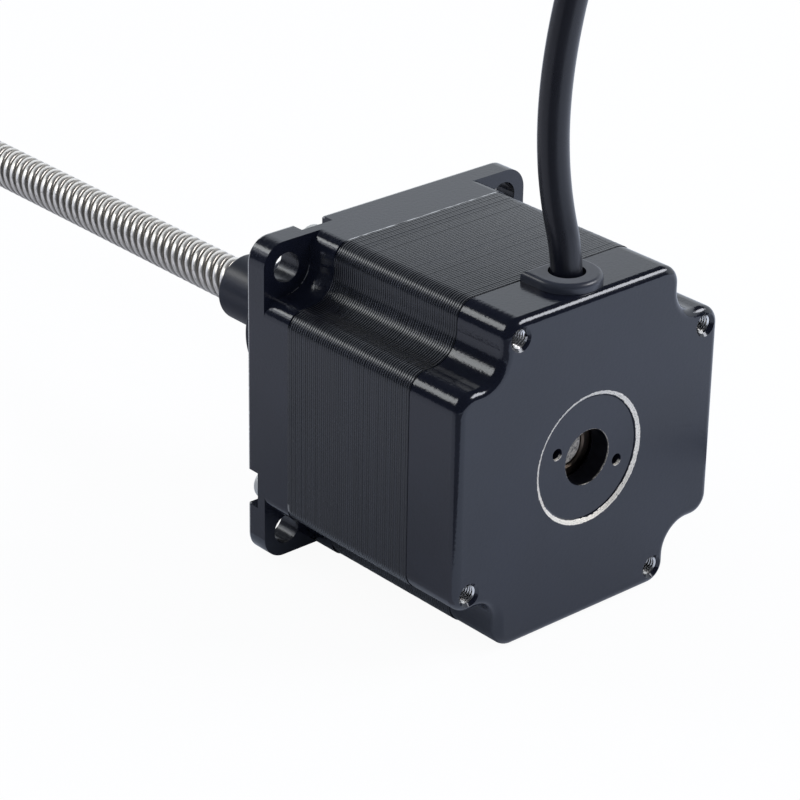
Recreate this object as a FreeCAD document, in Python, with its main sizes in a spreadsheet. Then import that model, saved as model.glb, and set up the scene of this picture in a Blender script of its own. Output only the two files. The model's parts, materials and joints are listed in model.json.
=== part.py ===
import FreeCAD, Part
import math
import os

import Sketcher
from FreeCAD import Placement, Rotation, Vector

# External linear stepper motor: a hybrid stepper whose rotor shaft is a four-start lead screw,
# with a flanged nut on the screw and a jacketed cable out of the rear end cap.
# Millimetres. The origin is the centre of the mounting face, +Y runs along the screw, +Z is up.

DIMENSIONS = {
    "flange_width": 56.4,
    "flange_thickness": 4.4,
    "flange_corner_radius": 4.0,
    "flange_chamfer": 0.4,
    "bolt_edge": 4.63,
    "bolt_hole_diameter": 5.1,
    "relief_radius": 4.85,
    "body_edge_radius": 3.4,
    "front_edge_radius": 2.6,
    "pilot_diameter": 38.1,
    "pilot_height": 1.6,
    "front_cap_depth": 10.4,
    "front_seat_wall": 2.0,
    "front_bore_diameter": 9.0,
    "stack_length": 29.0,
    "rear_cap_depth": 11.1,
    "rear_wall": 4.3,
    "rear_edge_radius": 1.5,
    "rear_bore_diameter": 9.5,
    "rear_recess_diameter": 20.8,
    "rear_recess_depth": 0.5,
    "rear_recess_bevel": 0.85,
    "encoder_circle_diameter": 14.2,
    "encoder_hole_diameter": 2.0,
    "encoder_hole_depth": 3.2,
    "encoder_angle": 21.0,
    "cap_wall": 4.8,
    "hub_wall": 2.5,
    "hub_step": 0.6,
    "tie_side": 3.02,
    "tie_edge": 3.2,
    "tie_thread_diameter": 3.0,
    "tie_bolt_clearance": 0.4,
    "tie_tapped_clearance": 0.1,
    "tie_countersink": 0.5,
    "tie_head_diameter": 5.6,
    "tie_head_height": 2.3,
    "tie_head_round": 0.8,
    "tie_slot_width": 6.4,
    "tie_slot_depth": 2.6,
    "tie_end_gap": 5.5,
    "air_gap": 0.1,
    "pole_width": 6.4,
    "pole_shoe_thickness": 1.9,
    "slot_mouth_angle": 5.4,
    "tooth_depth": 0.7,
    "rotor_tooth_depth": 0.8,
    "insulator_thickness": 1.0,
    "insulator_lip": 0.8,
    "insulator_lip_height": 2.4,
    "coil_side_gap": 0.3,
    "coil_depth": 3.5,
    "coil_spacing": 2.03,
    "coil_cavity_gap": 2.0,
    "coil_shoe_gap": 0.5,
    "coil_corner_radius": 2.0,
    "magnet_length": 2.4,
    "magnet_step": 2.6,
    "rotor_end_gap": 1.0,
    "spacer_wall": 1.6,
    "screw_diameter": 8.0,
    "screw_reach": 150.0,
    "screw_end_chamfer": 1.0,
    "thread_start": 3.4,
    "thread_pitch": 2.0,
    "thread_depth": 0.95,
    "thread_crest": 0.8,
    "thread_root": 0.5,
    "journal_chamfer": 0.4,
    "journal_setback": 0.3,
    "front_bearing_outside": 22.0,
    "front_bearing_width": 7.0,
    "front_ball_diameter": 3.97,
    "rear_journal_diameter": 7.0,
    "rear_bearing_outside": 19.0,
    "rear_bearing_width": 6.0,
    "rear_ball_diameter": 3.5,
    "ring_chamfer": 0.3,
    "ring_shoulder": 0.3,
    "ball_clearance": 0.03,
    "cage_thickness": 1.2,
    "cage_side_margin": 0.6,
    "cage_pocket_clearance": 0.08,
    "shield_thickness": 0.3,
    "shield_inset": 0.2,
    "shield_gap": 0.25,
    "spring_height": 0.8,
    "spring_thickness": 0.3,
    "spring_width": 2.2,
    "fit_clearance": 0.01,
    "nut_start": 16.4,
    "nut_flange_diameter": 25.0,
    "nut_flange_thickness": 4.0,
    "nut_barrel_diameter": 12.0,
    "nut_barrel_length": 15.6,
    "nut_edge_radius": 0.6,
    "nut_hole_diameter": 3.5,
    "nut_hole_circle_diameter": 18.5,
    "nut_clearance": 0.05,
    "cable_diameter": 5.0,
    "cable_setback": 4.4,
    "jacket_inset": 0.2,
    "grommet_hole_clearance": 0.05,
    "grommet_mouth_diameter": 6.0,
    "grommet_mouth_depth": 2.8,
    "grommet_plate_width": 11.4,
    "grommet_plate_height": 1.6,
    "grommet_edge_radius": 0.8,
    "window_width": 8.6,
    "window_clearance": 0.05,
    "inner_lead_diameter": 1.1,
    "inner_lead_spacing": 1.2,
    "lead_diameter": 1.3,
    "lead_spacing": 1.45,
}

POLE_COUNT = 8
TEETH_PER_POLE = 6
ROTOR_TEETH = 50
BALL_COUNT = 7
NUT_HOLE_COUNT = 4
CORNERS = 4
LEAD_COLOURS = ("black", "green", "red", "blue")
OVERCUT = 1.0

# Cable route, chosen by hand, in cable diameters: up from the middle of the grommet's top, over to
# the motor's rear right and down to the surface that the motor stands on.
CABLE_ROUTE = (
    (0.04, -0.02, 0.26),
    (-0.24, 0.41, 2.44),
    (-0.38, 0.51, 4.73),
    (-0.27, 0.4, 7.23),
    (0.1, 0.07, 10.04),
    (1.5, -1.04, 13.14),
    (4.3, -2.94, 15.34),
    (8.2, -5.64, 14.84),
    (11.1, -7.84, 12.24),
    (12.7, -9.24, 8.24),
    (13.2, -10.14, 3.64),
    (13.3, -10.44, -1.96),
    (13.3, -10.44, -7.0),
    (13.3, -8.94, -9.6),
)

# The cable's tail on the standing surface, from the same place and in the same unit.
CABLE_TAIL = (
    (13.3, -6.34),
    (13.3, -3.34),
)

# Each flying lead's bends past the jacket's end: along the cable, across it and height above the
# standing surface, in lead diameters, for the four leads in colour order.
LEAD_FAN = (
    ((0.0, -1.0, 3.0), (2.5, -1.0, 3.0), (8.0, -4.4, 0.5), (13.0, -5.6, 0.5)),
    ((0.0, -1.0, 1.5), (2.5, -1.0, 1.5), (7.0, -1.6, 0.5), (14.0, -2.2, 0.5)),
    ((0.0, 1.0, 1.5), (2.5, 1.0, 1.5), (7.0, 1.6, 0.5), (13.5, 2.0, 0.5)),
    ((0.0, 1.0, 3.0), (2.5, 1.0, 3.0), (8.0, 4.6, 0.5), (12.5, 6.0, 0.5)),
)


class Size:
    """A length that holds its number and the sheet expression that gives it."""

    def __init__(self, value, text):
        self.value = value
        self.text = text

    def _join(self, sign, other, value):
        """Return the size for this one joined with another by an arithmetic sign."""
        return Size(value, "({} {} {})".format(self.text, sign, other.text))

    def __add__(self, other):
        other = size(other)
        return self._join("+", other, self.value + other.value)

    def __sub__(self, other):
        other = size(other)
        return self._join("-", other, self.value - other.value)

    def __mul__(self, other):
        other = size(other)
        return self._join("*", other, self.value * other.value)

    def __truediv__(self, other):
        other = size(other)
        return self._join("/", other, self.value / other.value)

    def __neg__(self):
        return Size(-self.value, "(-{})".format(self.text))


def size(item):
    """Return a Size for a Size or a plain number."""
    if isinstance(item, Size):
        return item
    return Size(float(item), repr(float(item)))


doc = FreeCAD.newDocument("linear_stepper")
sheet = doc.addObject("Spreadsheet::Sheet", "Dims")
for row, (alias, number) in enumerate(DIMENSIONS.items(), start=1):
    sheet.set("A{}".format(row), alias)
    sheet.set("B{}".format(row), repr(number))
    sheet.setAlias("B{}".format(row), alias)
doc.recompute()


def dim(alias):
    """Return one driving dimension as a Size."""
    return Size(float(sheet.get(alias)), "Dims.{}".format(alias))


# Sizes worked out from the driving dimensions

half_width = dim("flange_width") / 2
bolt_offset = half_width - dim("bolt_edge")
relief_wall = bolt_offset - dim("relief_radius")
tie_reach = half_width - dim("tie_edge")
tie_inset = relief_wall - dim("tie_side")
cavity_radius = half_width - dim("cap_wall")
rear_start = dim("front_cap_depth") + dim("stack_length")
body_length = rear_start + dim("rear_cap_depth")
screw_radius = dim("screw_diameter") / 2
journal_radius = dim("rear_journal_diameter") / 2
coil_end = cavity_radius - dim("coil_cavity_gap")
coil_start = coil_end - dim("coil_depth")
coil_hole = dim("pole_width") / 2 + dim("coil_side_gap")
coil_side = coil_start * math.tan(math.pi / POLE_COUNT) - dim("coil_spacing") / 2
coil_thickness = coil_side - coil_hole
shoe_back = coil_start - dim("coil_shoe_gap")
stator_bore_radius = shoe_back - dim("pole_shoe_thickness")
rotor_radius = stator_bore_radius - dim("air_gap")
magnet_radius = rotor_radius - dim("rotor_tooth_depth") - dim("magnet_step")
rotor_start = dim("front_cap_depth") + dim("rotor_end_gap")
rotor_length = dim("stack_length") - dim("rotor_end_gap") * 2
cup_length = (rotor_length - dim("magnet_length")) / 2
lip_radius = cavity_radius - dim("fit_clearance") * 10
front_seat = dim("front_seat_wall")
front_bearing_end = front_seat + dim("front_bearing_width")
rear_seat = body_length - dim("rear_wall")
rear_bearing_end = rear_seat - dim("spring_height")
rear_bearing_start = rear_bearing_end - dim("rear_bearing_width")
cable_centre = rear_start + dim("cable_setback")
grommet_top = half_width + dim("grommet_plate_height")
jacket_start = cavity_radius + dim("jacket_inset")
tie_hole_diameter = dim("tie_thread_diameter") + dim("tie_bolt_clearance")
tapped_diameter = dim("tie_thread_diameter") + dim("tie_tapped_clearance")

nodes = []


# Document helpers

def bind(item, prop, length):
    """Bind one property of a document object to a size."""
    item.setExpression(prop, length.text)


def new_body(label, along=None):
    """Return a new body, set back along -Y by a size, and note it as a node."""
    item = doc.addObject("PartDesign::Body", label)
    item.Label = label
    if along is not None:
        bind(item, "Placement.Base.y", -along)
    nodes.append(item)
    return item


def origin_feature(owner, role):
    """Return a body's origin plane or axis by its role."""
    return [item for item in owner.Origin.OriginFeatures if item.Role == role][0]


def new_sketch(owner, role, name, offset=None):
    """Return a sketch on a body's origin plane, moved along the plane's normal by a size."""
    item = owner.newObject("Sketcher::SketchObject", name)
    item.AttachmentSupport = [(origin_feature(owner, role), "")]
    item.MapMode = "FlatFace"
    if offset is not None:
        bind(item, "AttachmentOffset.Base.z", offset)
    return item


def hold(sketch, kind, geometry, point, length):
    """Hold one coordinate of a point at a size from the sketch's origin."""
    axis = -2 if kind == "DistanceX" else -1
    if abs(length.value) < 1e-9:
        sketch.addConstraint(Sketcher.Constraint("PointOnObject", geometry, point, axis))
        return
    index = sketch.addConstraint(Sketcher.Constraint(kind, -1, 1, geometry, point, length.value))
    bind(sketch, "Constraints[{}]".format(index), length)


def polygon(sketch, points):
    """Draw a closed outline of straight lines, each corner held by its two sizes."""
    corners = [(size(x), size(y)) for x, y in points]
    spots = [Vector(x.value, y.value, 0) for x, y in corners]
    lines = []
    for start, end in zip(spots, spots[1:] + spots[:1]):
        lines.append(sketch.addGeometry(Part.LineSegment(start, end), False))
    for line, following in zip(lines, lines[1:] + lines[:1]):
        sketch.addConstraint(Sketcher.Constraint("Coincident", line, 2, following, 1))
    for line, (x, y) in zip(lines, corners):
        hold(sketch, "DistanceX", line, 1, x)
        hold(sketch, "DistanceY", line, 1, y)


def rectangle(sketch, left, right, low, high):
    """Draw a rectangle between four sizes."""
    polygon(sketch, ((left, low), (right, low), (right, high), (left, high)))


def circle(sketch, x, y, diameter):
    """Draw a circle of a given diameter."""
    x, y = size(x), size(y)
    shape = Part.Circle(Vector(x.value, y.value, 0), Vector(0, 0, 1), diameter.value / 2)
    index = sketch.addGeometry(shape, False)
    hold(sketch, "DistanceX", index, 3, x)
    hold(sketch, "DistanceY", index, 3, y)
    held = sketch.addConstraint(Sketcher.Constraint("Diameter", index, diameter.value))
    bind(sketch, "Constraints[{}]".format(held), diameter)


def open_slot(sketch, x, y, width, mouth):
    """Draw a slot with a round end about a point and a straight mouth at a higher y."""
    x, y = size(x), size(y)
    half = width.value / 2
    left, right = x.value - half, x.value + half
    arc = Part.ArcOfCircle(
        Part.Circle(Vector(x.value, y.value, 0), Vector(0, 0, 1), half), math.pi, 2 * math.pi)
    bend = sketch.addGeometry(arc, False)
    ends = (
        (Vector(right, y.value, 0), Vector(right, mouth.value, 0)),
        (Vector(right, mouth.value, 0), Vector(left, mouth.value, 0)),
        (Vector(left, mouth.value, 0), Vector(left, y.value, 0)),
    )
    up, across, down = [sketch.addGeometry(Part.LineSegment(*pair), False) for pair in ends]
    for first, first_end, second, second_end in (
            (bend, 2, up, 1), (up, 2, across, 1), (across, 2, down, 1), (down, 2, bend, 1)):
        sketch.addConstraint(Sketcher.Constraint("Coincident", first, first_end, second, second_end))
    sketch.addConstraint(Sketcher.Constraint("Vertical", up))
    sketch.addConstraint(Sketcher.Constraint("Vertical", down))
    sketch.addConstraint(Sketcher.Constraint("Horizontal", across))
    sketch.addConstraint(Sketcher.Constraint("Horizontal", bend, 1, bend, 2))
    hold(sketch, "DistanceX", bend, 3, x)
    hold(sketch, "DistanceY", bend, 3, y)
    sketch.addConstraint(Sketcher.Constraint("PointOnObject", bend, 3, bend_chord(sketch, bend)))
    held = sketch.addConstraint(Sketcher.Constraint("Radius", bend, half))
    bind(sketch, "Constraints[{}]".format(held), width / 2)
    hold(sketch, "DistanceY", across, 1, mouth)


def bend_chord(sketch, bend):
    """Return a construction line across the ends of a slot's round end."""
    arc = sketch.Geometry[bend]
    chord = sketch.addGeometry(Part.LineSegment(arc.StartPoint, arc.EndPoint), True)
    sketch.addConstraint(Sketcher.Constraint("Coincident", chord, 1, bend, 1))
    sketch.addConstraint(Sketcher.Constraint("Coincident", chord, 2, bend, 2))
    return chord


def extrude(owner, kind, profile, length, back=False):
    """Pad or pocket a sketch by a size."""
    item = owner.newObject("PartDesign::" + kind, profile.Name + "_" + kind.lower())
    item.Profile = profile
    bind(item, "Length", length)
    item.Reversed = back
    return item


def turn(owner, kind, profile):
    """Revolve or groove a sketch about the motor's axis."""
    item = owner.newObject("PartDesign::" + kind, profile.Name + "_" + kind.lower())
    item.Profile = profile
    item.ReferenceAxis = (profile, ["V_Axis"])
    item.Angle = 360
    return item


def around(owner, features, count):
    """Repeat features evenly about the motor's axis."""
    item = owner.newObject("PartDesign::PolarPattern", features[0].Name + "_ring")
    item.Originals = features
    item.Axis = (origin_feature(owner, "Y_Axis"), [""])
    item.Angle = 360
    item.Occurrences = count
    owner.Tip = item
    return item


def repeat_along(owner, feature, pitch, count):
    """Repeat a feature along the motor's axis."""
    item = owner.newObject("PartDesign::LinearPattern", feature.Name + "_row")
    item.Originals = [feature]
    item.Direction = (origin_feature(owner, "Y_Axis"), [""])
    bind(item, "Length", pitch * (count - 1))
    item.Occurrences = count
    owner.Tip = item
    return item


def soften(owner, kind, length, chosen):
    """Fillet or chamfer the edges of a body's tip that pass a test."""
    doc.recompute()
    base = owner.Tip
    names = [
        "Edge{}".format(number)
        for number, edge in enumerate(base.Shape.Edges, start=1) if chosen(edge)]
    if not names:
        raise ValueError("no edge to soften on " + owner.Label)
    name = "{}_{}_{}".format(owner.Name, kind.lower(), len(owner.Group))
    item = owner.newObject("PartDesign::" + kind, name)
    item.Base = (base, names)
    bind(item, "Radius" if kind == "Fillet" else "Size", length)
    doc.recompute()
    return item


def runs_along(edge, axis):
    """Say whether an edge is a straight line along one axis."""
    if not isinstance(edge.Curve, (Part.Line, Part.LineSegment)):
        return False
    return abs(abs(edge.tangentAt(edge.FirstParameter).dot(axis)) - 1) < 1e-6


def lies_at(edge, y):
    """Say whether an edge lies in the plane across the axis at y."""
    box = edge.BoundBox
    return abs(box.YMin - y) < 1e-6 and abs(box.YMax - y) < 1e-6


def place_feature(label, shape, along=None):
    """Add a shape to the document as a node, set back along -Y by a size."""
    item = doc.addObject("Part::Feature", label)
    item.Label = label
    item.Shape = shape
    if along is not None:
        item.Placement = Placement(Vector(0, -along.value, 0), Rotation())
        bind(item, "Placement.Base.y", -along)
    nodes.append(item)
    return item


def spun(shape, angle):
    """Return a copy of a shape turned about the motor's axis."""
    copy = shape.copy()
    copy.rotate(Vector(), Vector(0, 1, 0), angle)
    return copy


def polar_point(radius, angle, y=0.0):
    """Return the point at an angle from +Z towards +X, across the motor's axis."""
    turned = math.radians(angle)
    return Vector(radius * math.sin(turned), y, radius * math.cos(turned))


def rod(start, end, diameter):
    """Return a round rod between two points."""
    return Part.makeCylinder(diameter / 2, start.distanceToPoint(end), start, end - start)


# Housing

def relieved_block(owner, start, length, edge_radius):
    """Pad the square motor section, with its corners cut back round the mounting bolts."""
    outer = new_sketch(owner, "XZ_Plane", owner.Name + "_section", start)
    rectangle(outer, -half_width, half_width, -half_width, half_width)
    extrude(owner, "Pad", outer, length)
    corner = new_sketch(owner, "XZ_Plane", owner.Name + "_relief", start)
    rectangle(corner, relief_wall, half_width + OVERCUT, relief_wall, half_width + OVERCUT)
    around(owner, [extrude(owner, "Pocket", corner, length, True)], CORNERS)
    wall = relief_wall.value
    edge_axis = Vector(0, 1, 0)

    def is_inner(edge):
        centre = edge.CenterOfMass
        at_wall = abs(abs(centre.x) - wall) < 1e-6 and abs(abs(centre.z) - wall) < 1e-6
        return runs_along(edge, edge_axis) and at_wall

    def is_outer(edge):
        centre = edge.CenterOfMass
        reach = max(abs(centre.x), abs(centre.z))
        return runs_along(edge, edge_axis) and abs(reach - half_width.value) < 1e-6

    soften(owner, "Fillet", dim("relief_radius"), is_inner)
    soften(owner, "Fillet", edge_radius, is_outer)


def tie_hole_sketch(owner, name, diameter, offset=None):
    """Draw one tie bolt's hole at the top left arm."""
    sketch = new_sketch(owner, "XZ_Plane", name, offset)
    circle(sketch, -tie_inset, tie_reach, diameter)
    return sketch


def front_end_cap():
    """Build the front casting: mounting flange, pilot, bearing seat and coil cavity."""
    owner = new_body("front_end_cap")
    depth = dim("front_cap_depth") - dim("flange_thickness")
    relieved_block(owner, dim("flange_thickness"), depth, dim("front_edge_radius"))
    plate = new_sketch(owner, "XZ_Plane", "flange_plate")
    rectangle(plate, -half_width, half_width, -half_width, half_width)
    extrude(owner, "Pad", plate, dim("flange_thickness"))
    half = half_width.value

    def is_corner(edge):
        centre = edge.CenterOfMass
        at_corner = abs(abs(centre.x) - half) < 1e-6 and abs(abs(centre.z) - half) < 1e-6
        return runs_along(edge, Vector(0, 1, 0)) and at_corner

    soften(owner, "Fillet", dim("flange_corner_radius"), is_corner)
    soften(owner, "Chamfer", dim("flange_chamfer"), lambda edge: lies_at(edge, 0))
    pilot = new_sketch(owner, "XZ_Plane", "pilot")
    circle(pilot, 0, 0, dim("pilot_diameter"))
    extrude(owner, "Pad", pilot, dim("pilot_height"), True)
    bore = dim("front_bore_diameter") / 2
    seat = dim("front_bearing_outside") / 2 + dim("fit_clearance")
    hub = seat + dim("hub_wall")
    mouth = dim("pilot_height") + OVERCUT
    floor = -dim("flange_thickness")
    hub_end = -(front_bearing_end + dim("hub_step"))
    end = -(dim("front_cap_depth") + OVERCUT)
    hollow = new_sketch(owner, "XY_Plane", "front_hollow")
    polygon(hollow, (
        (0, mouth), (bore, mouth), (bore, -front_seat), (seat, -front_seat), (seat, hub_end),
        (hub, hub_end), (hub, floor), (cavity_radius, floor), (cavity_radius, end), (0, end)))
    turn(owner, "Groove", hollow)
    ear = new_sketch(owner, "XZ_Plane", "ear_hole")
    circle(ear, bolt_offset, bolt_offset, dim("bolt_hole_diameter"))
    around(owner, [extrude(owner, "Pocket", ear, dim("front_cap_depth"), True)], CORNERS)
    slot = new_sketch(owner, "XZ_Plane", "head_slot")
    open_slot(slot, -tie_inset, tie_reach, dim("tie_slot_width"), half_width + OVERCUT)
    around(owner, [extrude(owner, "Pocket", slot, dim("tie_slot_depth"), True)], CORNERS)
    hole = tie_hole_sketch(owner, "front_tie_hole", tie_hole_diameter)
    around(owner, [extrude(owner, "Pocket", hole, dim("front_cap_depth"), True)], CORNERS)


def rear_end_cap():
    """Build the rear casting: bearing seat, coil cavity, tapped holes and cable window."""
    owner = new_body("rear_end_cap", rear_start)
    depth = dim("rear_cap_depth")
    relieved_block(owner, size(0), depth, dim("body_edge_radius"))
    rear_face = -depth.value
    soften(owner, "Fillet", dim("rear_edge_radius"), lambda edge: lies_at(edge, rear_face))
    seat = dim("rear_bearing_outside") / 2 + dim("fit_clearance")
    hub = seat + dim("hub_wall")
    hub_end = -dim("hub_step")
    seat_floor = -(depth - dim("rear_wall"))
    bore = dim("rear_bore_diameter") / 2
    recess = dim("rear_recess_diameter") / 2
    recess_floor = -(depth - dim("rear_recess_depth"))
    rim = recess + dim("rear_recess_bevel")
    hollow = new_sketch(owner, "XY_Plane", "rear_hollow")
    polygon(hollow, (
        (0, OVERCUT), (cavity_radius, OVERCUT), (cavity_radius, seat_floor), (hub, seat_floor),
        (hub, hub_end), (seat, hub_end), (seat, seat_floor), (bore, seat_floor), (bore, recess_floor),
        (recess, recess_floor), (rim, -depth), (rim, -(depth + OVERCUT)), (0, -(depth + OVERCUT))))
    turn(owner, "Groove", hollow)
    hole = tie_hole_sketch(owner, "tapped_hole", tapped_diameter)
    around(owner, [extrude(owner, "Pocket", hole, depth, True)], CORNERS)
    tapped = tapped_diameter.value / 2

    def is_tapped_rim(edge):
        return lies_at(edge, rear_face) and isinstance(edge.Curve, Part.Circle) \
            and abs(edge.Curve.Radius - tapped) < 1e-6

    soften(owner, "Chamfer", dim("tie_countersink"), is_tapped_rim)
    turned = math.radians(dim("encoder_angle").value)
    circle_radius = dim("encoder_circle_diameter") / 2
    pilot_hole = new_sketch(owner, "XZ_Plane", "encoder_hole", depth - dim("rear_recess_depth"))
    circle(
        pilot_hole, -(circle_radius * math.cos(turned)), circle_radius * math.sin(turned),
        dim("encoder_hole_diameter"))
    around(owner, [extrude(owner, "Pocket", pilot_hole, dim("encoder_hole_depth"))], 2)
    window = new_sketch(owner, "XY_Plane", "cable_window", cavity_radius - OVERCUT * 2)
    open_slot(window, 0, -dim("cable_setback"), dim("window_width"), size(OVERCUT))
    extrude(owner, "Pocket", window, half_width, True)


def stator_void():
    """Return the hollow of the laminations: toothed bore, winding slots and tie bolt holes."""
    bore = stator_bore_radius.value
    root = bore + dim("tooth_depth").value
    shoe = shoe_back.value
    slot = cavity_radius.value
    half_pole = dim("pole_width").value / 2
    pole_pitch = 360.0 / POLE_COUNT
    shoe_angle = (pole_pitch - dim("slot_mouth_angle").value) / 2
    tooth_pitch = 2 * shoe_angle / (TEETH_PER_POLE - 0.5)
    points = []
    for pole in range(POLE_COUNT):
        middle = pole * pole_pitch
        for tooth in range(TEETH_PER_POLE):
            tip = middle - shoe_angle + tooth * tooth_pitch
            points.append(polar_point(bore, tip))
            points.append(polar_point(bore, tip + tooth_pitch / 2))
            if tooth < TEETH_PER_POLE - 1:
                points.append(polar_point(root, tip + tooth_pitch / 2))
                points.append(polar_point(root, tip + tooth_pitch))
        for radius, side in ((shoe, 1), (slot, 1), (slot, -1), (shoe, -1)):
            wall_angle = math.degrees(math.asin(half_pole / radius))
            corner = middle + wall_angle if side > 0 else middle + pole_pitch - wall_angle
            if radius == shoe and side > 0:
                points.append(polar_point(shoe, middle + shoe_angle))
            points.append(polar_point(radius, corner))
            if radius == shoe and side < 0:
                points.append(polar_point(shoe, middle + pole_pitch - shoe_angle))
    wire = Part.makePolygon(points + points[:1])
    length = Vector(0, -dim("stack_length").value, 0)
    void = Part.Face(wire).extrude(length)
    shank = tie_hole_diameter.value / 2
    seat = Vector(-tie_inset.value, 0, tie_reach.value)
    holes = [spun(Part.makeCylinder(shank, length.Length, seat, length), 90 * turn_number)
             for turn_number in range(CORNERS)]
    return Part.makeCompound([void] + holes)


def stator_stack():
    """Build the lamination stack: the motor's section less its toothed hollow."""
    block = new_body("stator_block", dim("front_cap_depth"))
    nodes.remove(block)
    relieved_block(block, size(0), dim("stack_length"), dim("body_edge_radius"))
    void = doc.addObject("Part::Feature", "stator_hollow")
    void.Shape = stator_void()
    bind(void, "Placement.Base.y", -dim("front_cap_depth"))
    stack = doc.addObject("Part::Cut", "stator_stack")
    stack.Label = "stator_stack"
    stack.Base = block
    stack.Tool = void
    nodes.append(stack)


def tie_bolts():
    """Build the four tie bolts: round heads sunk in the flange and plain shanks."""
    owner = doc.addObject("PartDesign::Body", "tie_bolt")
    shank = dim("tie_thread_diameter") / 2
    head = dim("tie_head_diameter") / 2
    crown = dim("tie_head_round")
    seat = -dim("tie_slot_depth")
    top = seat + dim("tie_head_height")
    tip = -(body_length - dim("tie_end_gap"))
    outline = new_sketch(owner, "XY_Plane", "bolt_outline")
    polygon(outline, (
        (0, top), (head - crown, top), (head, top - crown), (head, seat),
        (shank, seat), (shank, tip), (0, tip)))
    turn(owner, "Revolution", outline)
    doc.recompute()
    spot = Vector(-tie_inset.value, 0, tie_reach.value)
    bolts = []
    for corner in range(CORNERS):
        bolt = owner.Shape.copy()
        bolt.translate(spot)
        bolts.append(spun(bolt, 360.0 / CORNERS * corner))
    place_feature("tie_bolts", Part.makeCompound(bolts))


# Windings

def stator_coils():
    """Build the eight coils, each a rounded winding round one pole."""
    inside, outside = coil_hole.value, coil_side.value
    ends = dim("stack_length").value / 2 + dim("insulator_thickness").value
    reach = ends + coil_thickness.value
    middle = -(dim("front_cap_depth").value + dim("stack_length").value / 2)
    depth = coil_end.value - coil_start.value
    corner = Vector(-outside, middle - reach, coil_start.value)
    block = Part.makeBox(2 * outside, 2 * reach, depth, corner)
    upright = [edge for edge in block.Edges if runs_along(edge, Vector(0, 0, 1))]
    winding = block.makeFillet(dim("coil_corner_radius").value, upright)
    hole = Part.makeBox(2 * inside, 2 * ends, depth, Vector(-inside, middle - ends, coil_start.value))
    winding = winding.cut(hole)
    coils = [spun(winding, 360.0 / POLE_COUNT * number) for number in range(POLE_COUNT)]
    place_feature("stator_coils", Part.makeCompound(coils))


def insulator(label, face, direction):
    """Build an end frame on a stack face: an outer lip and a pad on each pole."""
    thickness = dim("insulator_thickness").value
    outside = lip_radius.value
    inside = outside - dim("insulator_lip").value
    height = dim("insulator_lip_height").value
    axis = Vector(0, direction, 0)
    seat = Vector(0, face, 0)
    lip = Part.makeCylinder(outside, height, seat, axis).cut(Part.makeCylinder(inside, height, seat, axis))
    pad_start = stator_bore_radius.value + dim("tooth_depth").value
    pad_width = dim("pole_width").value
    low = face if direction > 0 else face - thickness
    pad_length = outside - dim("insulator_lip").value / 2 - pad_start
    pad = Part.makeBox(pad_width, thickness, pad_length, Vector(-pad_width / 2, low, pad_start))
    frame = lip
    for number in range(POLE_COUNT):
        frame = frame.fuse(spun(pad, 360.0 / POLE_COUNT * number))
    place_feature(label, frame.removeSplitter())


def inner_leads():
    """Build the four conductors from under the grommet down to the nearest coil."""
    diameter = dim("inner_lead_diameter").value
    spacing = dim("inner_lead_spacing").value
    bottom = coil_end.value
    top = cavity_radius.value
    along = -(rear_start.value + dim("insulator_lip_height").value + diameter * 0.7)
    leads = []
    for number in range(len(LEAD_COLOURS)):
        across = (number - (len(LEAD_COLOURS) - 1) / 2) * spacing
        leads.append(rod(Vector(across, along, bottom), Vector(across, along, top), diameter))
    place_feature("inner_leads", Part.makeCompound(leads))


# Bearings

def bearing_ring(label, start, width, inside, outside, pitch, ball):
    """Build one bearing ring with chamfered corners and a round ball track."""
    owner = new_body(label, start)
    chamfer = dim("ring_chamfer")
    section = new_sketch(owner, "XY_Plane", label + "_section")
    polygon(section, (
        (inside, -chamfer), (inside + chamfer, 0), (outside - chamfer, 0), (outside, -chamfer),
        (outside, -(width - chamfer)), (outside - chamfer, -width), (inside + chamfer, -width),
        (inside, -(width - chamfer))))
    turn(owner, "Revolution", section)
    track = new_sketch(owner, "XY_Plane", label + "_track")
    circle(track, pitch, -(width / 2), ball + dim("ball_clearance") * 2)
    turn(owner, "Groove", track)


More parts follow.
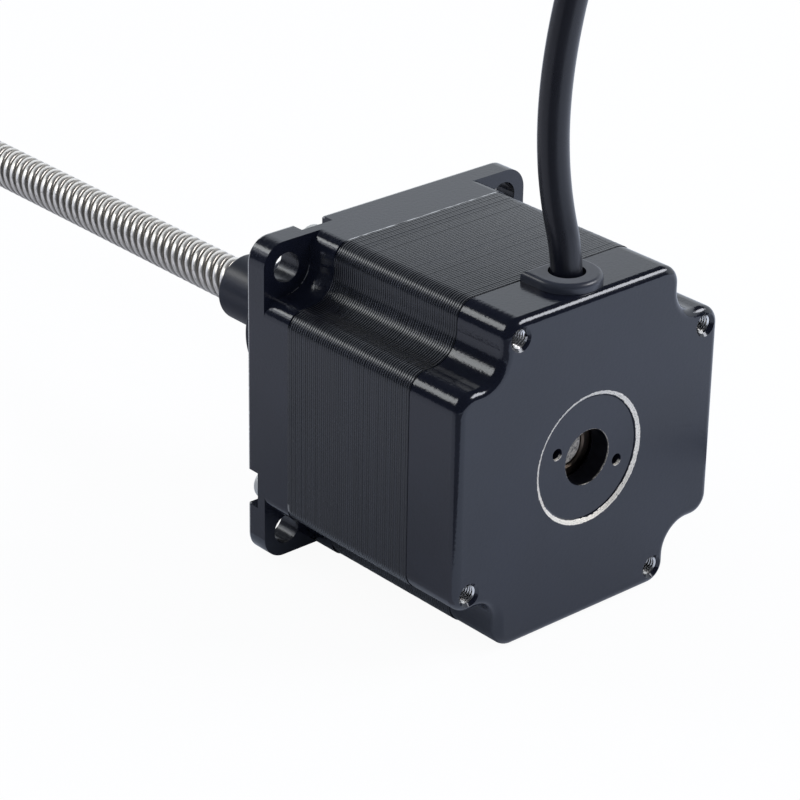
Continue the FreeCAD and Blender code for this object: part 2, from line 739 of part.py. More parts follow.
def bearing(name, start, width, bore, outside, ball):
    """Build one deep groove ball bearing as rings, balls, cage and shields."""
    inner_radius = bore / 2 + dim("fit_clearance")
    outer_radius = outside / 2
    pitch = (bore + outside) / 4
    shoulder = ball * dim("ring_shoulder")
    bearing_ring(name + "_bearing_outer", start, width, pitch + shoulder, outer_radius, pitch, ball)
    bearing_ring(name + "_bearing_inner", start, width, inner_radius, pitch - shoulder, pitch, ball)
    middle = -(start.value + width.value / 2)
    radius = ball.value / 2
    spots = [polar_point(pitch.value, 360.0 / BALL_COUNT * number, middle) for number in range(BALL_COUNT)]
    balls = [Part.makeSphere(radius, spot) for spot in spots]
    place_feature(name + "_bearing_balls", Part.makeCompound(balls))
    half_wall = dim("cage_thickness").value / 2
    half_length = radius + dim("cage_side_margin").value
    foot = Vector(0, middle - half_length, 0)
    axis = Vector(0, 1, 0)
    cage = Part.makeCylinder(pitch.value + half_wall, 2 * half_length, foot, axis)
    cage = cage.cut(Part.makeCylinder(pitch.value - half_wall, 2 * half_length, foot, axis))
    pocket_radius = radius + dim("cage_pocket_clearance").value
    for spot in spots:
        centre = Vector(0, middle, 0)
        cage = cage.cut(Part.makeCylinder(pocket_radius, pitch.value * 2, centre, spot - centre))
    place_feature(name + "_bearing_cage", cage)
    shield_outside = (pitch + shoulder - dim("fit_clearance")).value
    shield_inside = (pitch - shoulder).value + dim("shield_gap").value
    thickness = dim("shield_thickness").value
    inset = dim("shield_inset").value
    shields = []
    for near in (-(start.value + inset + thickness), -(start.value + width.value - inset)):
        seat = Vector(0, near, 0)
        disc = Part.makeCylinder(shield_outside, thickness, seat, axis)
        shields.append(disc.cut(Part.makeCylinder(shield_inside, thickness, seat, axis)))
    place_feature(name + "_bearing_shields", Part.makeCompound(shields))


def preload_spring():
    """Build the disc spring that presses on the rear bearing's outer ring."""
    owner = new_body("preload_spring", rear_bearing_end)
    outside = dim("rear_bearing_outside") / 2 - dim("ring_chamfer")
    inside = outside - dim("spring_width")
    rise = dim("spring_height") - dim("spring_thickness")
    section = new_sketch(owner, "XY_Plane", "spring_section")
    polygon(section, (
        (outside, 0), (outside, -dim("spring_thickness")), (inside, -dim("spring_height")), (inside, -rise)))
    turn(owner, "Revolution", section)


# Rotor and screw

def lead_screw():
    """Build the screw: rear journal, rotor seat and the grooves between its thread's crests."""
    owner = new_body("lead_screw")
    rear = -(rear_bearing_end - dim("journal_setback"))
    shoulder = -rear_bearing_start
    reach = dim("screw_reach")
    tip = dim("screw_end_chamfer")
    bevel = dim("journal_chamfer")
    outline = new_sketch(owner, "XY_Plane", "screw_outline")
    polygon(outline, (
        (0, rear), (journal_radius - bevel, rear), (journal_radius, rear + bevel), (journal_radius, shoulder),
        (screw_radius, shoulder), (screw_radius, reach - tip), (screw_radius - tip, reach), (0, reach)))
    turn(owner, "Revolution", outline)
    pitch = dim("thread_pitch")
    middle = dim("thread_start") + pitch / 2
    root = screw_radius - dim("thread_depth")
    floor_half = dim("thread_root") / 2
    mouth_half = (pitch - dim("thread_crest")) / 2
    groove = new_sketch(owner, "XY_Plane", "thread_groove")
    polygon(groove, (
        (root, middle - floor_half), (root, middle + floor_half), (screw_radius, middle + mouth_half),
        (screw_radius + OVERCUT, middle + mouth_half), (screw_radius + OVERCUT, middle - mouth_half),
        (screw_radius, middle - mouth_half)))
    count = int(((reach - tip - dim("thread_start")) / pitch).value)
    repeat_along(owner, turn(owner, "Groove", groove), pitch, count)


def rotor_cup(label, start, shift):
    """Build one toothed rotor half, turned by a share of a tooth."""
    outside = rotor_radius.value
    root = outside - dim("rotor_tooth_depth").value
    pitch = 360.0 / ROTOR_TEETH
    points = []
    for tooth in range(ROTOR_TEETH):
        tip = (tooth + shift) * pitch
        for radius, share in ((outside, -0.25), (outside, 0.25), (root, 0.3), (root, 0.7)):
            points.append(polar_point(radius, tip + share * pitch))
    length = Vector(0, -cup_length.value, 0)
    cup = Part.Face(Part.makePolygon(points + points[:1])).extrude(length)
    bore = Part.makeCylinder(screw_radius.value + dim("fit_clearance").value, length.Length, Vector(), length)
    place_feature(label, cup.cut(bore), start)


def sleeve(label, start, length, outside):
    """Build a plain sleeve on the screw."""
    owner = new_body(label, start)
    inside = screw_radius + dim("fit_clearance")
    section = new_sketch(owner, "XY_Plane", label + "_section")
    rectangle(section, inside, outside, -length, size(0))
    turn(owner, "Revolution", section)


def lead_nut():
    """Build the flanged nut: barrel away from the motor and screw holes in the flange."""
    owner = new_body("lead_nut", -dim("nut_start"))
    inside = screw_radius + dim("nut_clearance")
    barrel = dim("nut_barrel_diameter") / 2
    rim = dim("nut_flange_diameter") / 2
    step = dim("nut_flange_thickness")
    end = step + dim("nut_barrel_length")
    section = new_sketch(owner, "XY_Plane", "nut_section")
    polygon(section, ((inside, 0), (rim, 0), (rim, step), (barrel, step), (barrel, end), (inside, end)))
    turn(owner, "Revolution", section)
    outer_rims = (rim.value, barrel.value)
    planes = (0.0, step.value, end.value)

    def is_rim(edge):
        if not isinstance(edge.Curve, Part.Circle):
            return False
        at_plane = any(lies_at(edge, plane) for plane in planes)
        return at_plane and any(abs(edge.Curve.Radius - radius) < 1e-6 for radius in outer_rims)

    soften(owner, "Fillet", dim("nut_edge_radius"), is_rim)
    hole = new_sketch(owner, "XZ_Plane", "nut_hole")
    side = dim("nut_hole_circle_diameter") / (2 * math.sqrt(2))
    circle(hole, side, side, dim("nut_hole_diameter"))
    around(owner, [extrude(owner, "Pocket", hole, step)], NUT_HOLE_COUNT)


# Cable

def cable_grommet():
    """Build the rubber grommet: neck in the window, plate on top and a flared cable hole."""
    owner = new_body("cable_grommet", rear_start)
    centre = -dim("cable_setback")
    neck_bottom = cavity_radius + dim("fit_clearance")
    neck = new_sketch(owner, "XY_Plane", "grommet_neck", neck_bottom)
    open_slot(neck, 0, centre, dim("window_width") - dim("window_clearance") * 2, size(0))
    extrude(owner, "Pad", neck, half_width - neck_bottom)
    plate = new_sketch(owner, "XY_Plane", "grommet_plate", half_width)
    open_slot(plate, 0, centre, dim("grommet_plate_width"), size(0))
    extrude(owner, "Pad", plate, dim("grommet_plate_height"))
    top = grommet_top.value
    soften(owner, "Fillet", dim("grommet_edge_radius"), lambda edge: edge.BoundBox.ZMin > top - 1e-6)
    hole = new_sketch(owner, "XY_Plane", "grommet_hole", grommet_top)
    circle(hole, 0, centre, dim("cable_diameter") + dim("grommet_hole_clearance") * 2)
    extrude(owner, "Pocket", hole, half_width)
    mouth = new_sketch(owner, "XY_Plane", "grommet_mouth", grommet_top)
    circle(mouth, 0, centre, dim("grommet_mouth_diameter"))
    extrude(owner, "Pocket", mouth, dim("grommet_mouth_depth"))


def rounded_path(points):
    """Return a wire of straight runs joined by tangent arcs, and the arcs' radii."""
    edges = []
    radii = []
    last = points[0]
    for before, corner, after in zip(points, points[1:], points[2:]):
        incoming = (before - corner).normalize()
        outgoing = (after - corner).normalize()
        shorter = min(before.distanceToPoint(corner), after.distanceToPoint(corner))
        cut = 0.45 * shorter
        half_turn = (math.pi - incoming.getAngle(outgoing)) / 2
        radius = cut / math.tan(half_turn)
        start = corner + incoming * cut
        end = corner + outgoing * cut
        inward = (incoming + outgoing).normalize()
        depth = radius / math.cos(half_turn) - radius
        edges.append(Part.LineSegment(last, start).toShape())
        edges.append(Part.Arc(start, corner + inward * depth, end).toShape())
        radii.append(radius)
        last = end
    edges.append(Part.LineSegment(last, points[-1]).toShape())
    return Part.Wire(edges), radii


def tube(points, diameter):
    """Return a round tube along a rounded path, with its path's length and radii."""
    wire, radii = rounded_path(points)
    ring = Part.Wire(Part.makeCircle(diameter / 2, points[0], points[1] - points[0]))
    solid = wire.makePipeShell([ring], True, False, 2)
    section = math.pi * diameter ** 2 / 4
    if abs(solid.Volume / (section * wire.Length) - 1) > 0.01:
        raise ValueError("a cable tube lost volume along its route")
    return solid, wire.Length, radii


def cable():
    """Build the cable's jacket and the four flying leads at its far end."""
    unit = dim("cable_diameter").value
    outlet = Vector(0, -cable_centre.value, grommet_top.value)
    resting = unit / 2 - half_width.value
    points = [Vector(outlet.x, outlet.y, jacket_start.value)]
    points += [outlet + Vector(*spot) * unit for spot in CABLE_ROUTE]
    points += [Vector(outlet.x + x * unit, outlet.y + y * unit, resting) for x, y in CABLE_TAIL]
    solid, length, radii = tube(points, unit)
    print("cable length {:.1f}, smallest radius {:.1f}".format(length, min(radii)))
    print("cable radii", " ".join("{:.1f}".format(radius) for radius in radii))
    place_feature("cable_jacket", solid)
    diameter = dim("lead_diameter").value
    spacing = dim("lead_spacing").value
    end = points[-1]
    along = (end - points[-2]).normalize()
    across = Vector(0, 0, 1).cross(along)
    floor_end = Vector(end.x, end.y, -half_width.value)
    for colour, fan in zip(LEAD_COLOURS, LEAD_FAN):
        bends = []
        for ahead, side, height in fan:
            offset = along * (ahead * diameter) + across * (side * spacing / 2)
            bends.append(floor_end + offset + Vector(0, 0, height * diameter))
        wire, _, _ = tube(bends, diameter)
        place_feature("lead_" + colour, wire)


def check_and_write():
    """Stop if any piece failed, then write each node's shape."""
    doc.recompute()
    for item in doc.Objects:
        if "Invalid" in item.State or "Error" in item.State:
            raise ValueError("failed object: " + item.Label)
    os.makedirs("parts", exist_ok=True)
    for item in nodes:
        shape = item.Shape
        if shape.isNull() or not shape.isValid() or not shape.Solids:
            raise ValueError("bad shape: " + item.Label)
    for item in nodes:
        item.Shape.exportStep("parts/{}.step".format(item.Label))
        print("{:24s} volume {:10.2f}".format(item.Label, item.Shape.Volume))


front_end_cap()
stator_stack()
rear_end_cap()
tie_bolts()
stator_coils()
insulator("insulator_front", -dim("front_cap_depth").value, 1)
insulator("insulator_rear", -rear_start.value, -1)
inner_leads()
bearing(
    "front", front_seat, dim("front_bearing_width"), dim("screw_diameter"), dim("front_bearing_outside"),
    dim("front_ball_diameter"))
bearing(
    "rear", rear_bearing_start, dim("rear_bearing_width"), dim("rear_journal_diameter"),
    dim("rear_bearing_outside"), dim("rear_ball_diameter"))
preload_spring()
lead_screw()
rotor_cup("rotor_front_cup", rotor_start, 0.0)
rotor_cup("rotor_rear_cup", rotor_start + cup_length + dim("magnet_length"), 0.5)
sleeve("rotor_magnet", rotor_start + cup_length, dim("magnet_length"), magnet_radius)
sleeve("front_spacer", front_bearing_end, rotor_start - front_bearing_end, screw_radius + dim("spacer_wall"))
sleeve(
    "rear_spacer", rotor_start + rotor_length, rear_bearing_start - rotor_start - rotor_length,
    screw_radius + dim("spacer_wall"))
lead_nut()
cable_grommet()
cable()
check_and_write()
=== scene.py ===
import json
import logging
import math
import random
from dataclasses import dataclass, field
from enum import Enum
from typing import Callable, Dict, Iterable, List, Optional, Sequence, Tuple, Union

import bmesh
import bpy
from mathutils import Matrix, Vector


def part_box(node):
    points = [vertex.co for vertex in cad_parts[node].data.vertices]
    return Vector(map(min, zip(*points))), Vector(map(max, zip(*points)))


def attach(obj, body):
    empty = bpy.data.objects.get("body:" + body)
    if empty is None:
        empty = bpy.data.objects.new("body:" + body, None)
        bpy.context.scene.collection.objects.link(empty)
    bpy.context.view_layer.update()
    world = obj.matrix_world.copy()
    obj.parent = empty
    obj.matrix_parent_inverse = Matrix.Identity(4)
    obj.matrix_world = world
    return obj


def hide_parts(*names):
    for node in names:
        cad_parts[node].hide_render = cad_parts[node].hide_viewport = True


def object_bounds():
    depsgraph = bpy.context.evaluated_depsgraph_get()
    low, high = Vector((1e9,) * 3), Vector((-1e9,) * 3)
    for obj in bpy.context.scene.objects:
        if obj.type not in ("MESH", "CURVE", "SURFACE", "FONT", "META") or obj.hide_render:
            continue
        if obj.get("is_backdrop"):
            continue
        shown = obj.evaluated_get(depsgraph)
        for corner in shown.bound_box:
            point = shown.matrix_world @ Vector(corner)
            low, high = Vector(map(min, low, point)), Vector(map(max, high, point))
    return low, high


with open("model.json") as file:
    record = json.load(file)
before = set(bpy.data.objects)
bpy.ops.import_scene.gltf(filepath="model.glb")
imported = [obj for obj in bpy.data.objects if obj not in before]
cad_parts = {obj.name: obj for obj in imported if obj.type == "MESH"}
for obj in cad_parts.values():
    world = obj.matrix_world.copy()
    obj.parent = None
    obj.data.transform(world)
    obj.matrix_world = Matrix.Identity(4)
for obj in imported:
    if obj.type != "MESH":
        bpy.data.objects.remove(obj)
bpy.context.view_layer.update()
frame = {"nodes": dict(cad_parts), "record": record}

# External linear stepper motor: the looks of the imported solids. Metres, in the frame of the solids:
# the origin is the centre of the mounting face, +Y runs along the screw and +Z is up.

logging.basicConfig(level=logging.INFO, format="%(message)s")
LOG = logging.getLogger("motor")

IMAGE_WIDTH = 800
SENSOR_WIDTH = 36.0

MM = 0.001
FULL_TURN = 2 * math.pi
CORNERS = 4

# Limits of the modelling steps: points this near are one, faces this square to the axis are flat,
# and a bevel of this profile is an arc.
TOUCH = 0.001 * MM
WELD = 0.0005 * MM
FLAT = 0.99
ARC = 0.5

# Sizes that more than one sub-assembly shares
TIE_SPOT = (-15.7 * MM, 25.0 * MM)
RELIEF_RADIUS = 4.85 * MM

Number = Union[int, float]
Span = Tuple[float, float]
Colour = Tuple[float, float, float]
Point = Tuple[float, float, float]
Outline = Sequence[Tuple[float, float]]
Mask = Callable[["Coat"], "Term"]

LEAD_COLOURS: Dict[str, Colour] = {
    "lead_black": (0.02, 0.02, 0.02),
    "lead_green": (0.03, 0.26, 0.07),
    "lead_red": (0.50, 0.025, 0.02),
    "lead_blue": (0.025, 0.08, 0.40),
}


class Body(Enum):
    """The moving groups that carry new pieces."""

    HOUSING = "housing"
    ROTOR = "rotor"


class Pick(Enum):
    """What is selected in edit mode."""

    EDGE = "EDGE"
    FACE = "FACE"


class Ray(Enum):
    """The kinds of light path that see the background at full strength."""

    CAMERA = "Is Camera Ray"
    GLOSSY = "Is Glossy Ray"
    TRANSMISSION = "Is Transmission Ray"


# Shader terms

class Term:
    """A shader socket that takes Python arithmetic."""

    def __init__(self, recipe: "Recipe", socket: bpy.types.NodeSocket) -> None:
        """Hold a socket of a recipe."""
        self.recipe = recipe
        self.socket = socket

    def maths(self, operation: str, *operands: Union["Term", Number]) -> "Term":
        """Join this term with others in one Math node.

        Args:
            operation: the Math node's operation.
            operands: the other terms or plain numbers.

        Returns:
            The node's result.
        """
        inputs = dict(enumerate((self,) + operands))
        return self.recipe.node("ShaderNodeMath", {"operation": operation}, inputs)

    def __add__(self, other: Union["Term", Number]) -> "Term":
        """Add."""
        return self.maths("ADD", other)

    __radd__ = __add__

    def __mul__(self, other: Union["Term", Number]) -> "Term":
        """Multiply."""
        return self.maths("MULTIPLY", other)

    __rmul__ = __mul__

    def __sub__(self, other: Union["Term", Number]) -> "Term":
        """Subtract another term from this one."""
        return self.maths("SUBTRACT", other)

    def __rsub__(self, other: Number) -> "Term":
        """Subtract this term from a number."""
        return self.recipe.node("ShaderNodeMath", {"operation": "SUBTRACT"}, {0: other, 1: self})

    def __truediv__(self, other: Union["Term", Number]) -> "Term":
        """Divide by another term."""
        return self.maths("DIVIDE", other)

    def __abs__(self) -> "Term":
        """Drop the sign."""
        return self.maths("ABSOLUTE")

    def larger(self, other: "Term") -> "Term":
        """Return the larger of two terms."""
        return self.maths("MAXIMUM", other)

    def rises(self, low: Number, high: Number) -> "Term":
        """Return a smooth step from 0 at low to 1 at high."""
        limits = {0: self, 1: low, 2: high, 3: 0.0, 4: 1.0}
        return self.recipe.node("ShaderNodeMapRange", {"interpolation_type": "SMOOTHSTEP"}, limits)

    def past(self, limit: Number, soft: Number) -> "Term":
        """Return 0 before a limit and 1 past it, over a soft edge to both sides."""
        return self.rises(limit - soft, limit + soft)

    def between(self, low: Number, high: Number, soft: Number) -> "Term":
        """Return 1 between two limits and 0 outside them, over soft edges."""
        return self.past(low, soft) * (1 - self.past(high, soft))


def span_of(first: Term, second: Term) -> Term:
    """Return the length whose two parts at right angles are given."""
    return (first * first + second * second).maths("SQRT")


def shade(colour: Colour, share: Number) -> Colour:
    """Return a colour made darker or paler by a share, no paler than white."""
    return tuple(min(1.0, share * part) for part in colour)


class Recipe:
    """A node tree and the steps that add to it."""

    def __init__(self, tree: bpy.types.NodeTree) -> None:
        """Hold a node tree."""
        self.tree = tree

    def put(self, socket: bpy.types.NodeSocket, value: object) -> None:
        """Link a term to a socket, or set the socket's own value.

        Args:
            socket: the socket.
            value: a term, a number, a vector or a colour.
        """
        if isinstance(value, Term):
            self.tree.links.new(value.socket, socket)
        elif isinstance(value, tuple) and socket.type == "RGBA":
            socket.default_value = (*value, 1.0)
        else:
            socket.default_value = value

    def node(
            self, kind: str, settings: Optional[Dict[str, object]] = None,
            inputs: Optional[Dict[Union[int, str], object]] = None, output: Union[int, str] = 0) -> Term:
        """Add a node.

        Args:
            kind: the node's type.
            settings: the node's own settings.
            inputs: values or terms by socket.
            output: the socket that is returned.

        Returns:
            The chosen output.
        """
        made = self.tree.nodes.new(kind)
        for key, value in (settings or {}).items():
            setattr(made, key, value)
        for key, value in (inputs or {}).items():
            self.put(made.inputs[key], value)
        return Term(self, made.outputs[output])

    def place(self) -> Term:
        """Return the point on the piece, in metres."""
        return self.node("ShaderNodeTexCoord", output="Object")

    def axes(self) -> Tuple[Term, Term, Term]:
        """Return the point's three coordinates."""
        parts = self.node("ShaderNodeSeparateXYZ", {}, {0: self.place()})
        return tuple(Term(self, socket) for socket in parts.socket.node.outputs)

    def noise(
            self, size: Number, detail: Number = 3.0, rough: Number = 0.5,
            stretch: Point = (1.0, 1.0, 1.0)) -> Term:
        """Return cloudy noise.

        Args:
            size: the size of its patches, in metres.
            detail: the number of finer layers.
            rough: the strength of the finer layers.
            stretch: how much the patches are drawn out along each axis.

        Returns:
            A value from 0 to 1.
        """
        scale = tuple(1.0 / side for side in stretch)
        spot = self.node("ShaderNodeMapping", {}, {"Vector": self.place(), "Scale": scale})
        inputs = {"Vector": spot, "Scale": 1.0 / size, "Detail": detail, "Roughness": rough}
        return self.node("ShaderNodeTexNoise", {}, inputs)

    def lines(self, along: Term, size: Number) -> Term:
        """Return noise that changes along one term only.

        Args:
            along: the place along which it changes.
            size: the width of its lines, in metres.

        Returns:
            A value from 0 to 1.
        """
        inputs = {"W": along, "Scale": 1.0 / size, "Detail": 2.0}
        return self.node("ShaderNodeTexNoise", {"noise_dimensions": "1D"}, inputs)

    def blend(self, share: Union[Term, Number], first: object, second: object) -> Term:
        """Mix two colours."""
        return self.node("ShaderNodeMix", {"data_type": "RGBA"}, {0: share, 6: first, 7: second}, 2)

    def bump(self, height: Term, depth: Number) -> Term:
        """Return a normal bent by a height of 0 to 1 times a depth in metres."""
        return self.node("ShaderNodeBump", {}, {"Height": height, "Distance": depth, "Strength": 1.0})

    def seen_by(self, *rays: Ray) -> Term:
        """Tell the light paths apart.

        Args:
            rays: the kinds that count.

        Returns:
            1 for a path of one of those kinds, and 0 for others.
        """
        first, *others = [self.node("ShaderNodeLightPath", output=ray.value) for ray in rays]
        for other in others:
            first = first.larger(other)
        return first


class Coat(Recipe):
    """The node tree of one material."""

    def __init__(self, name: str) -> None:
        """Start a material with its shader.

        Args:
            name: the material's name.
        """
        self.material = bpy.data.materials.new(name)
        self.material.use_nodes = True
        super().__init__(self.material.node_tree)
        self.tree.nodes.clear()
        self.output = self.tree.nodes.new("ShaderNodeOutputMaterial")
        self.shader = self.tree.nodes.new("ShaderNodeBsdfPrincipled")
        self.tree.links.new(self.shader.outputs[0], self.output.inputs[0])

    def close(self, **sockets: object) -> bpy.types.Material:
        """Set the shader's sockets.

        Args:
            sockets: values or terms by the sockets' names, with _ for a space.

        Returns:
            The material.
        """
        for name, value in sockets.items():
            self.put(self.shader.inputs[name.replace("_", " ")], value)
        return self.material


# Finishes

@dataclass(frozen=True)
class CastingPaint:
    """Black paint on cast aluminium, with places that are machined or chipped bare."""

    name: str
    colour: Colour = (0.0055, 0.0065, 0.012)
    sheen: Colour = (0.93, 0.96, 1.0)
    refraction: float = 1.56
    roughness: float = 0.11
    unevenness: float = 0.03
    cloud_size: float = 14 * MM
    cloud_span: Span = (0.3, 0.75)
    cloud_gain: float = 1.35
    grain_size: float = 0.25 * MM
    peel_size: float = 0.6 * MM
    peel_depth: float = 0.024 * MM
    shade_metal: float = 0.0
    dull_roughness: float = 0.35
    bare_colour: Colour = (0.83, 0.83, 0.82)
    bare_metal: float = 1.0
    bare_roughness: float = 0.12
    ring_size: float = 0.08 * MM
    ring_span: Span = (0.25, 0.8)
    ring_shade: float = 0.72
    ring_relief: float = 1.5
    grey_core: Span = (8 * MM, 9 * MM)

    def material(self, bare: Mask, dull: Mask) -> bpy.types.Material:
        """Make the paint.

        Args:
            bare: gives the share of bare metal at a point.
            dull: gives the share of thin, dull paint at a point, which shade_metal also darkens as painted
                shade.

        Returns:
            The material.
        """
        coat = Coat(self.name)
        clouds = coat.noise(self.cloud_size)
        grain = coat.noise(self.grain_size, detail=2.0)
        peel = coat.noise(self.peel_size, rough=0.55)
        pale = shade(self.colour, self.cloud_gain)
        paint = coat.blend(clouds.rises(*self.cloud_span), self.colour, pale)
        x, _, z = coat.axes()
        radius = span_of(x, z)
        rings = coat.lines(radius, self.ring_size)
        grey = shade(self.bare_colour, self.ring_shade)
        metal = coat.blend(rings.rises(*self.ring_span), grey, self.bare_colour)
        share, thin = bare(coat), dull(coat)
        gloss = self.roughness + (clouds + grain) * self.unevenness + thin * self.dull_roughness
        bright = share * radius.rises(*self.grey_core) * self.bare_metal
        height = peel * (1 - share) + rings * share * self.ring_relief
        # Where shade_metal is set, the dull share turns the black paint into dark metal that mirrors little:
        # painted shade.
        return coat.close(
            Base_Color=coat.blend(share, paint, metal),
            Metallic=bright.larger(thin * (1 - share) * self.shade_metal),
            Roughness=gloss + share * (1 + rings) * self.bare_roughness,
            Normal=coat.bump(height, self.peel_depth), IOR=self.refraction, Specular_Tint=self.sheen)


@dataclass(frozen=True)
class LaminationPaint:
    """Thin black paint over the edges of stacked steel sheets."""

    name: str
    pitch: float
    seam: float
    half_width: float
    colour: Colour = (0.006, 0.0068, 0.010)
    sheen: Colour = (0.93, 0.96, 1.0)
    refraction: float = 1.58
    roughness: float = 0.12
    groove_roughness: float = 0.3
    groove_share: float = 0.16
    groove_soft: float = 0.06
    sheet_roughness: float = 0.06
    worn_by_sheet: float = 0.6
    worn_by_streak: float = 0.7
    worn_gain: float = 1.7
    worn_span: Span = (0.45, 1.1)
    streak_size: float = 6 * MM
    streak_stretch: Point = (1.0, 0.05, 1.0)
    streak_roughness: float = 0.03
    bare_colour: Colour = (0.80, 0.80, 0.80)
    bare_roughness: float = 0.15
    bare_share: float = 0.8
    bare_width: float = 0.35 * MM
    top_skin: Span = (0.12 * MM, 0.05 * MM)
    left_skin: Span = (0.12 * MM, 0.2 * MM)
    flake_size: float = 2.5 * MM
    flake_stretch: Point = (1.0, 0.2, 1.0)
    flake_span: Span = (0.40, 0.60)
    chip_share: float = 0.22
    chip_width: float = 0.43 * MM
    chip_heights: Span = (-16.7 * MM, -15.0 * MM)
    chip_soft: float = 0.2 * MM
    soft: float = 0.03 * MM

    def material(self) -> bpy.types.Material:
        """Make the paint, each sheet a little different from the next.

        Returns:
            The material.
        """
        coat = Coat(self.name)
        _, y, _ = coat.axes()
        place = (y - self.seam) / self.pitch
        number = place.maths("FLOOR")
        groove = 1 - (place - number).between(self.groove_share, 1 - self.groove_share, self.groove_soft)
        chance = coat.node("ShaderNodeTexWhiteNoise", {"noise_dimensions": "1D"}, {"W": number})
        streak = coat.noise(self.streak_size, rough=0.6, stretch=self.streak_stretch)
        paler = (chance * self.worn_by_sheet + streak * self.worn_by_streak).rises(*self.worn_span)
        paint = coat.blend(paler, self.colour, shade(self.colour, self.worn_gain))
        bare = self.bare(coat)
        rough = self.roughness + chance * self.sheet_roughness + streak * self.streak_roughness
        return coat.close(
            Base_Color=coat.blend(bare, paint, self.bare_colour), Metallic=bare,
            Roughness=rough + bare * self.bare_roughness + groove * self.groove_roughness,
            IOR=self.refraction, Specular_Tint=self.sheen)

    def bare(self, coat: Coat) -> Term:
        """Find the bare places: the first sheet's flaked top edge, kept to the top side where the seam
        catches the light and so partly worn paint and partly a painted highlight, and one chip on its left
        side.

        Args:
            coat: the material's node tree.

        Returns:
            The share of bare metal.
        """
        x, y, z = coat.axes()
        flakes = coat.noise(self.flake_size, detail=5.0, rough=0.7, stretch=self.flake_stretch)
        # The bare edge is kept to the top side: partly worn paint and partly a painted highlight along the
        # lit seam.
        top = z.rises(*(self.half_width - depth for depth in self.top_skin))
        edge = y.past(self.seam - self.bare_width, self.soft) * top
        left = 1 - x.rises(*(depth - self.half_width for depth in self.left_skin))
        side = z.between(*self.chip_heights, self.chip_soft) * left
        chip = y.past(self.seam - self.chip_width, self.soft) * side * self.chip_share
        return (edge * flakes.rises(*self.flake_span) * self.bare_share).larger(chip)


@dataclass(frozen=True)
class RolledThread:
    """Stainless thread, with a painted highlight on one flank of each ridge and painted shade on the other
    flank and in the root.
    """

    name: str
    crest_radius: float
    root_radius: float
    shaft_end: float
    thread_start: float
    pitch: float
    starts: int
    colour: Colour = (0.98, 0.94, 0.88)
    cloud_size: float = 1.4 * MM
    cloud_shade: float = 0.85
    shaded_flank_colour: Colour = (0.34, 0.32, 0.29)
    lit_flank_span: Span = (0.14, 0.36)
    root_shade_and_dirt_colour: Colour = (0.05, 0.047, 0.042)
    root_shade_span: Span = (0.1, 0.75)
    dirt_size: float = 0.5 * MM
    dirt_span: Span = (0.60, 0.68)
    dirt_share: float = 0.6
    scratch_size: float = 0.5 * MM
    scratch_stretch: Point = (0.25, 3.0, 0.25)
    scratch_depth: float = 0.004 * MM
    sawn_depth: float = 0.05 * MM
    sawn_colour: Colour = (0.90, 0.84, 0.76)
    pit_colour: Colour = (0.22, 0.20, 0.18)
    pit_size: float = 0.5 * MM
    pit_span: Span = (0.32, 0.62)
    metal: float = 0.80
    sawn_metal: float = 0.22
    roughness: float = 0.36
    crest_polish: float = 0.10
    cloud_roughness: float = 0.06
    sawn_roughness: float = 0.2

    def material(self) -> bpy.types.Material:
        """Make the metal, with painted shade towards the thread's root, a painted highlight and painted shade
        on the two flanks, and grey at the sawn rear end.

        Returns:
            The material.
        """
        coat = Coat(self.name)
        x, y, z = coat.axes()
        clouds = coat.noise(self.cloud_size, detail=4.0, rough=0.6)
        depth = self.crest_radius - self.root_radius
        height = span_of(x, z).rises(*(self.root_radius + share * depth for share in self.root_shade_span))
        turn = x.maths("ARCTAN2", z) * (self.starts / FULL_TURN)
        across = ((y - self.thread_start) / self.pitch - turn).maths("FRACT")
        bright = coat.blend(clouds, shade(self.colour, self.cloud_shade), self.colour)
        # Painted highlight on one flank of each ridge and painted shade on the other.
        paler = coat.blend(across.rises(*self.lit_flank_span), self.shaded_flank_colour, bright)
        dirt = coat.noise(self.dirt_size, rough=0.6).rises(*self.dirt_span) * self.dirt_share
        # Painted shade darkens the thread towards its root; the same dark colour also marks real dirt specks.
        steel = coat.blend(dirt, coat.blend(height, self.root_shade_and_dirt_colour, paler), self.root_shade_and_dirt_colour)
        sawn = 1 - y.rises(self.shaft_end, self.shaft_end + self.sawn_depth)
        pits = coat.noise(self.pit_size, detail=4.0, rough=0.65).rises(*self.pit_span)
        end = coat.blend(pits, self.pit_colour, self.sawn_colour)
        rough = self.roughness - height * self.crest_polish
        scratches = coat.noise(self.scratch_size, rough=0.6, stretch=self.scratch_stretch)
        return coat.close(
            Base_Color=coat.blend(sawn, steel, end),
            Metallic=self.metal - sawn * (self.metal - self.sawn_metal),
            Roughness=rough + clouds * self.cloud_roughness + sawn * self.sawn_roughness,
            Normal=coat.bump(scratches, self.scratch_depth))


@dataclass(frozen=True)
class Metal:
    """Plain worked metal with fine marks along one axis."""

    name: str
    colour: Colour
    roughness: float = 0.28
    mark_size: float = 0.3 * MM
    mark_stretch: Point = (1.0, 1.0, 1.0)
    mark_depth: float = 0.002 * MM
    mark_roughness: float = 0.14
    cloud_size: float = 4 * MM
    cloud_span: Span = (0.3, 0.7)
    cloud_shade: Colour = (0.78, 0.78, 0.78)

    def material(self) -> bpy.types.Material:
        """Make the metal.

        Returns:
            The material.
        """
        coat = Coat(self.name)
        marks = coat.noise(self.mark_size, rough=0.6, stretch=self.mark_stretch)
        clouds = coat.noise(self.cloud_size)
        dark = tuple(part * share for part, share in zip(self.colour, self.cloud_shade))
        return coat.close(
            Base_Color=coat.blend(clouds.rises(*self.cloud_span), dark, self.colour), Metallic=1.0,
            Roughness=self.roughness + marks * self.mark_roughness,
            Normal=coat.bump(marks, self.mark_depth))


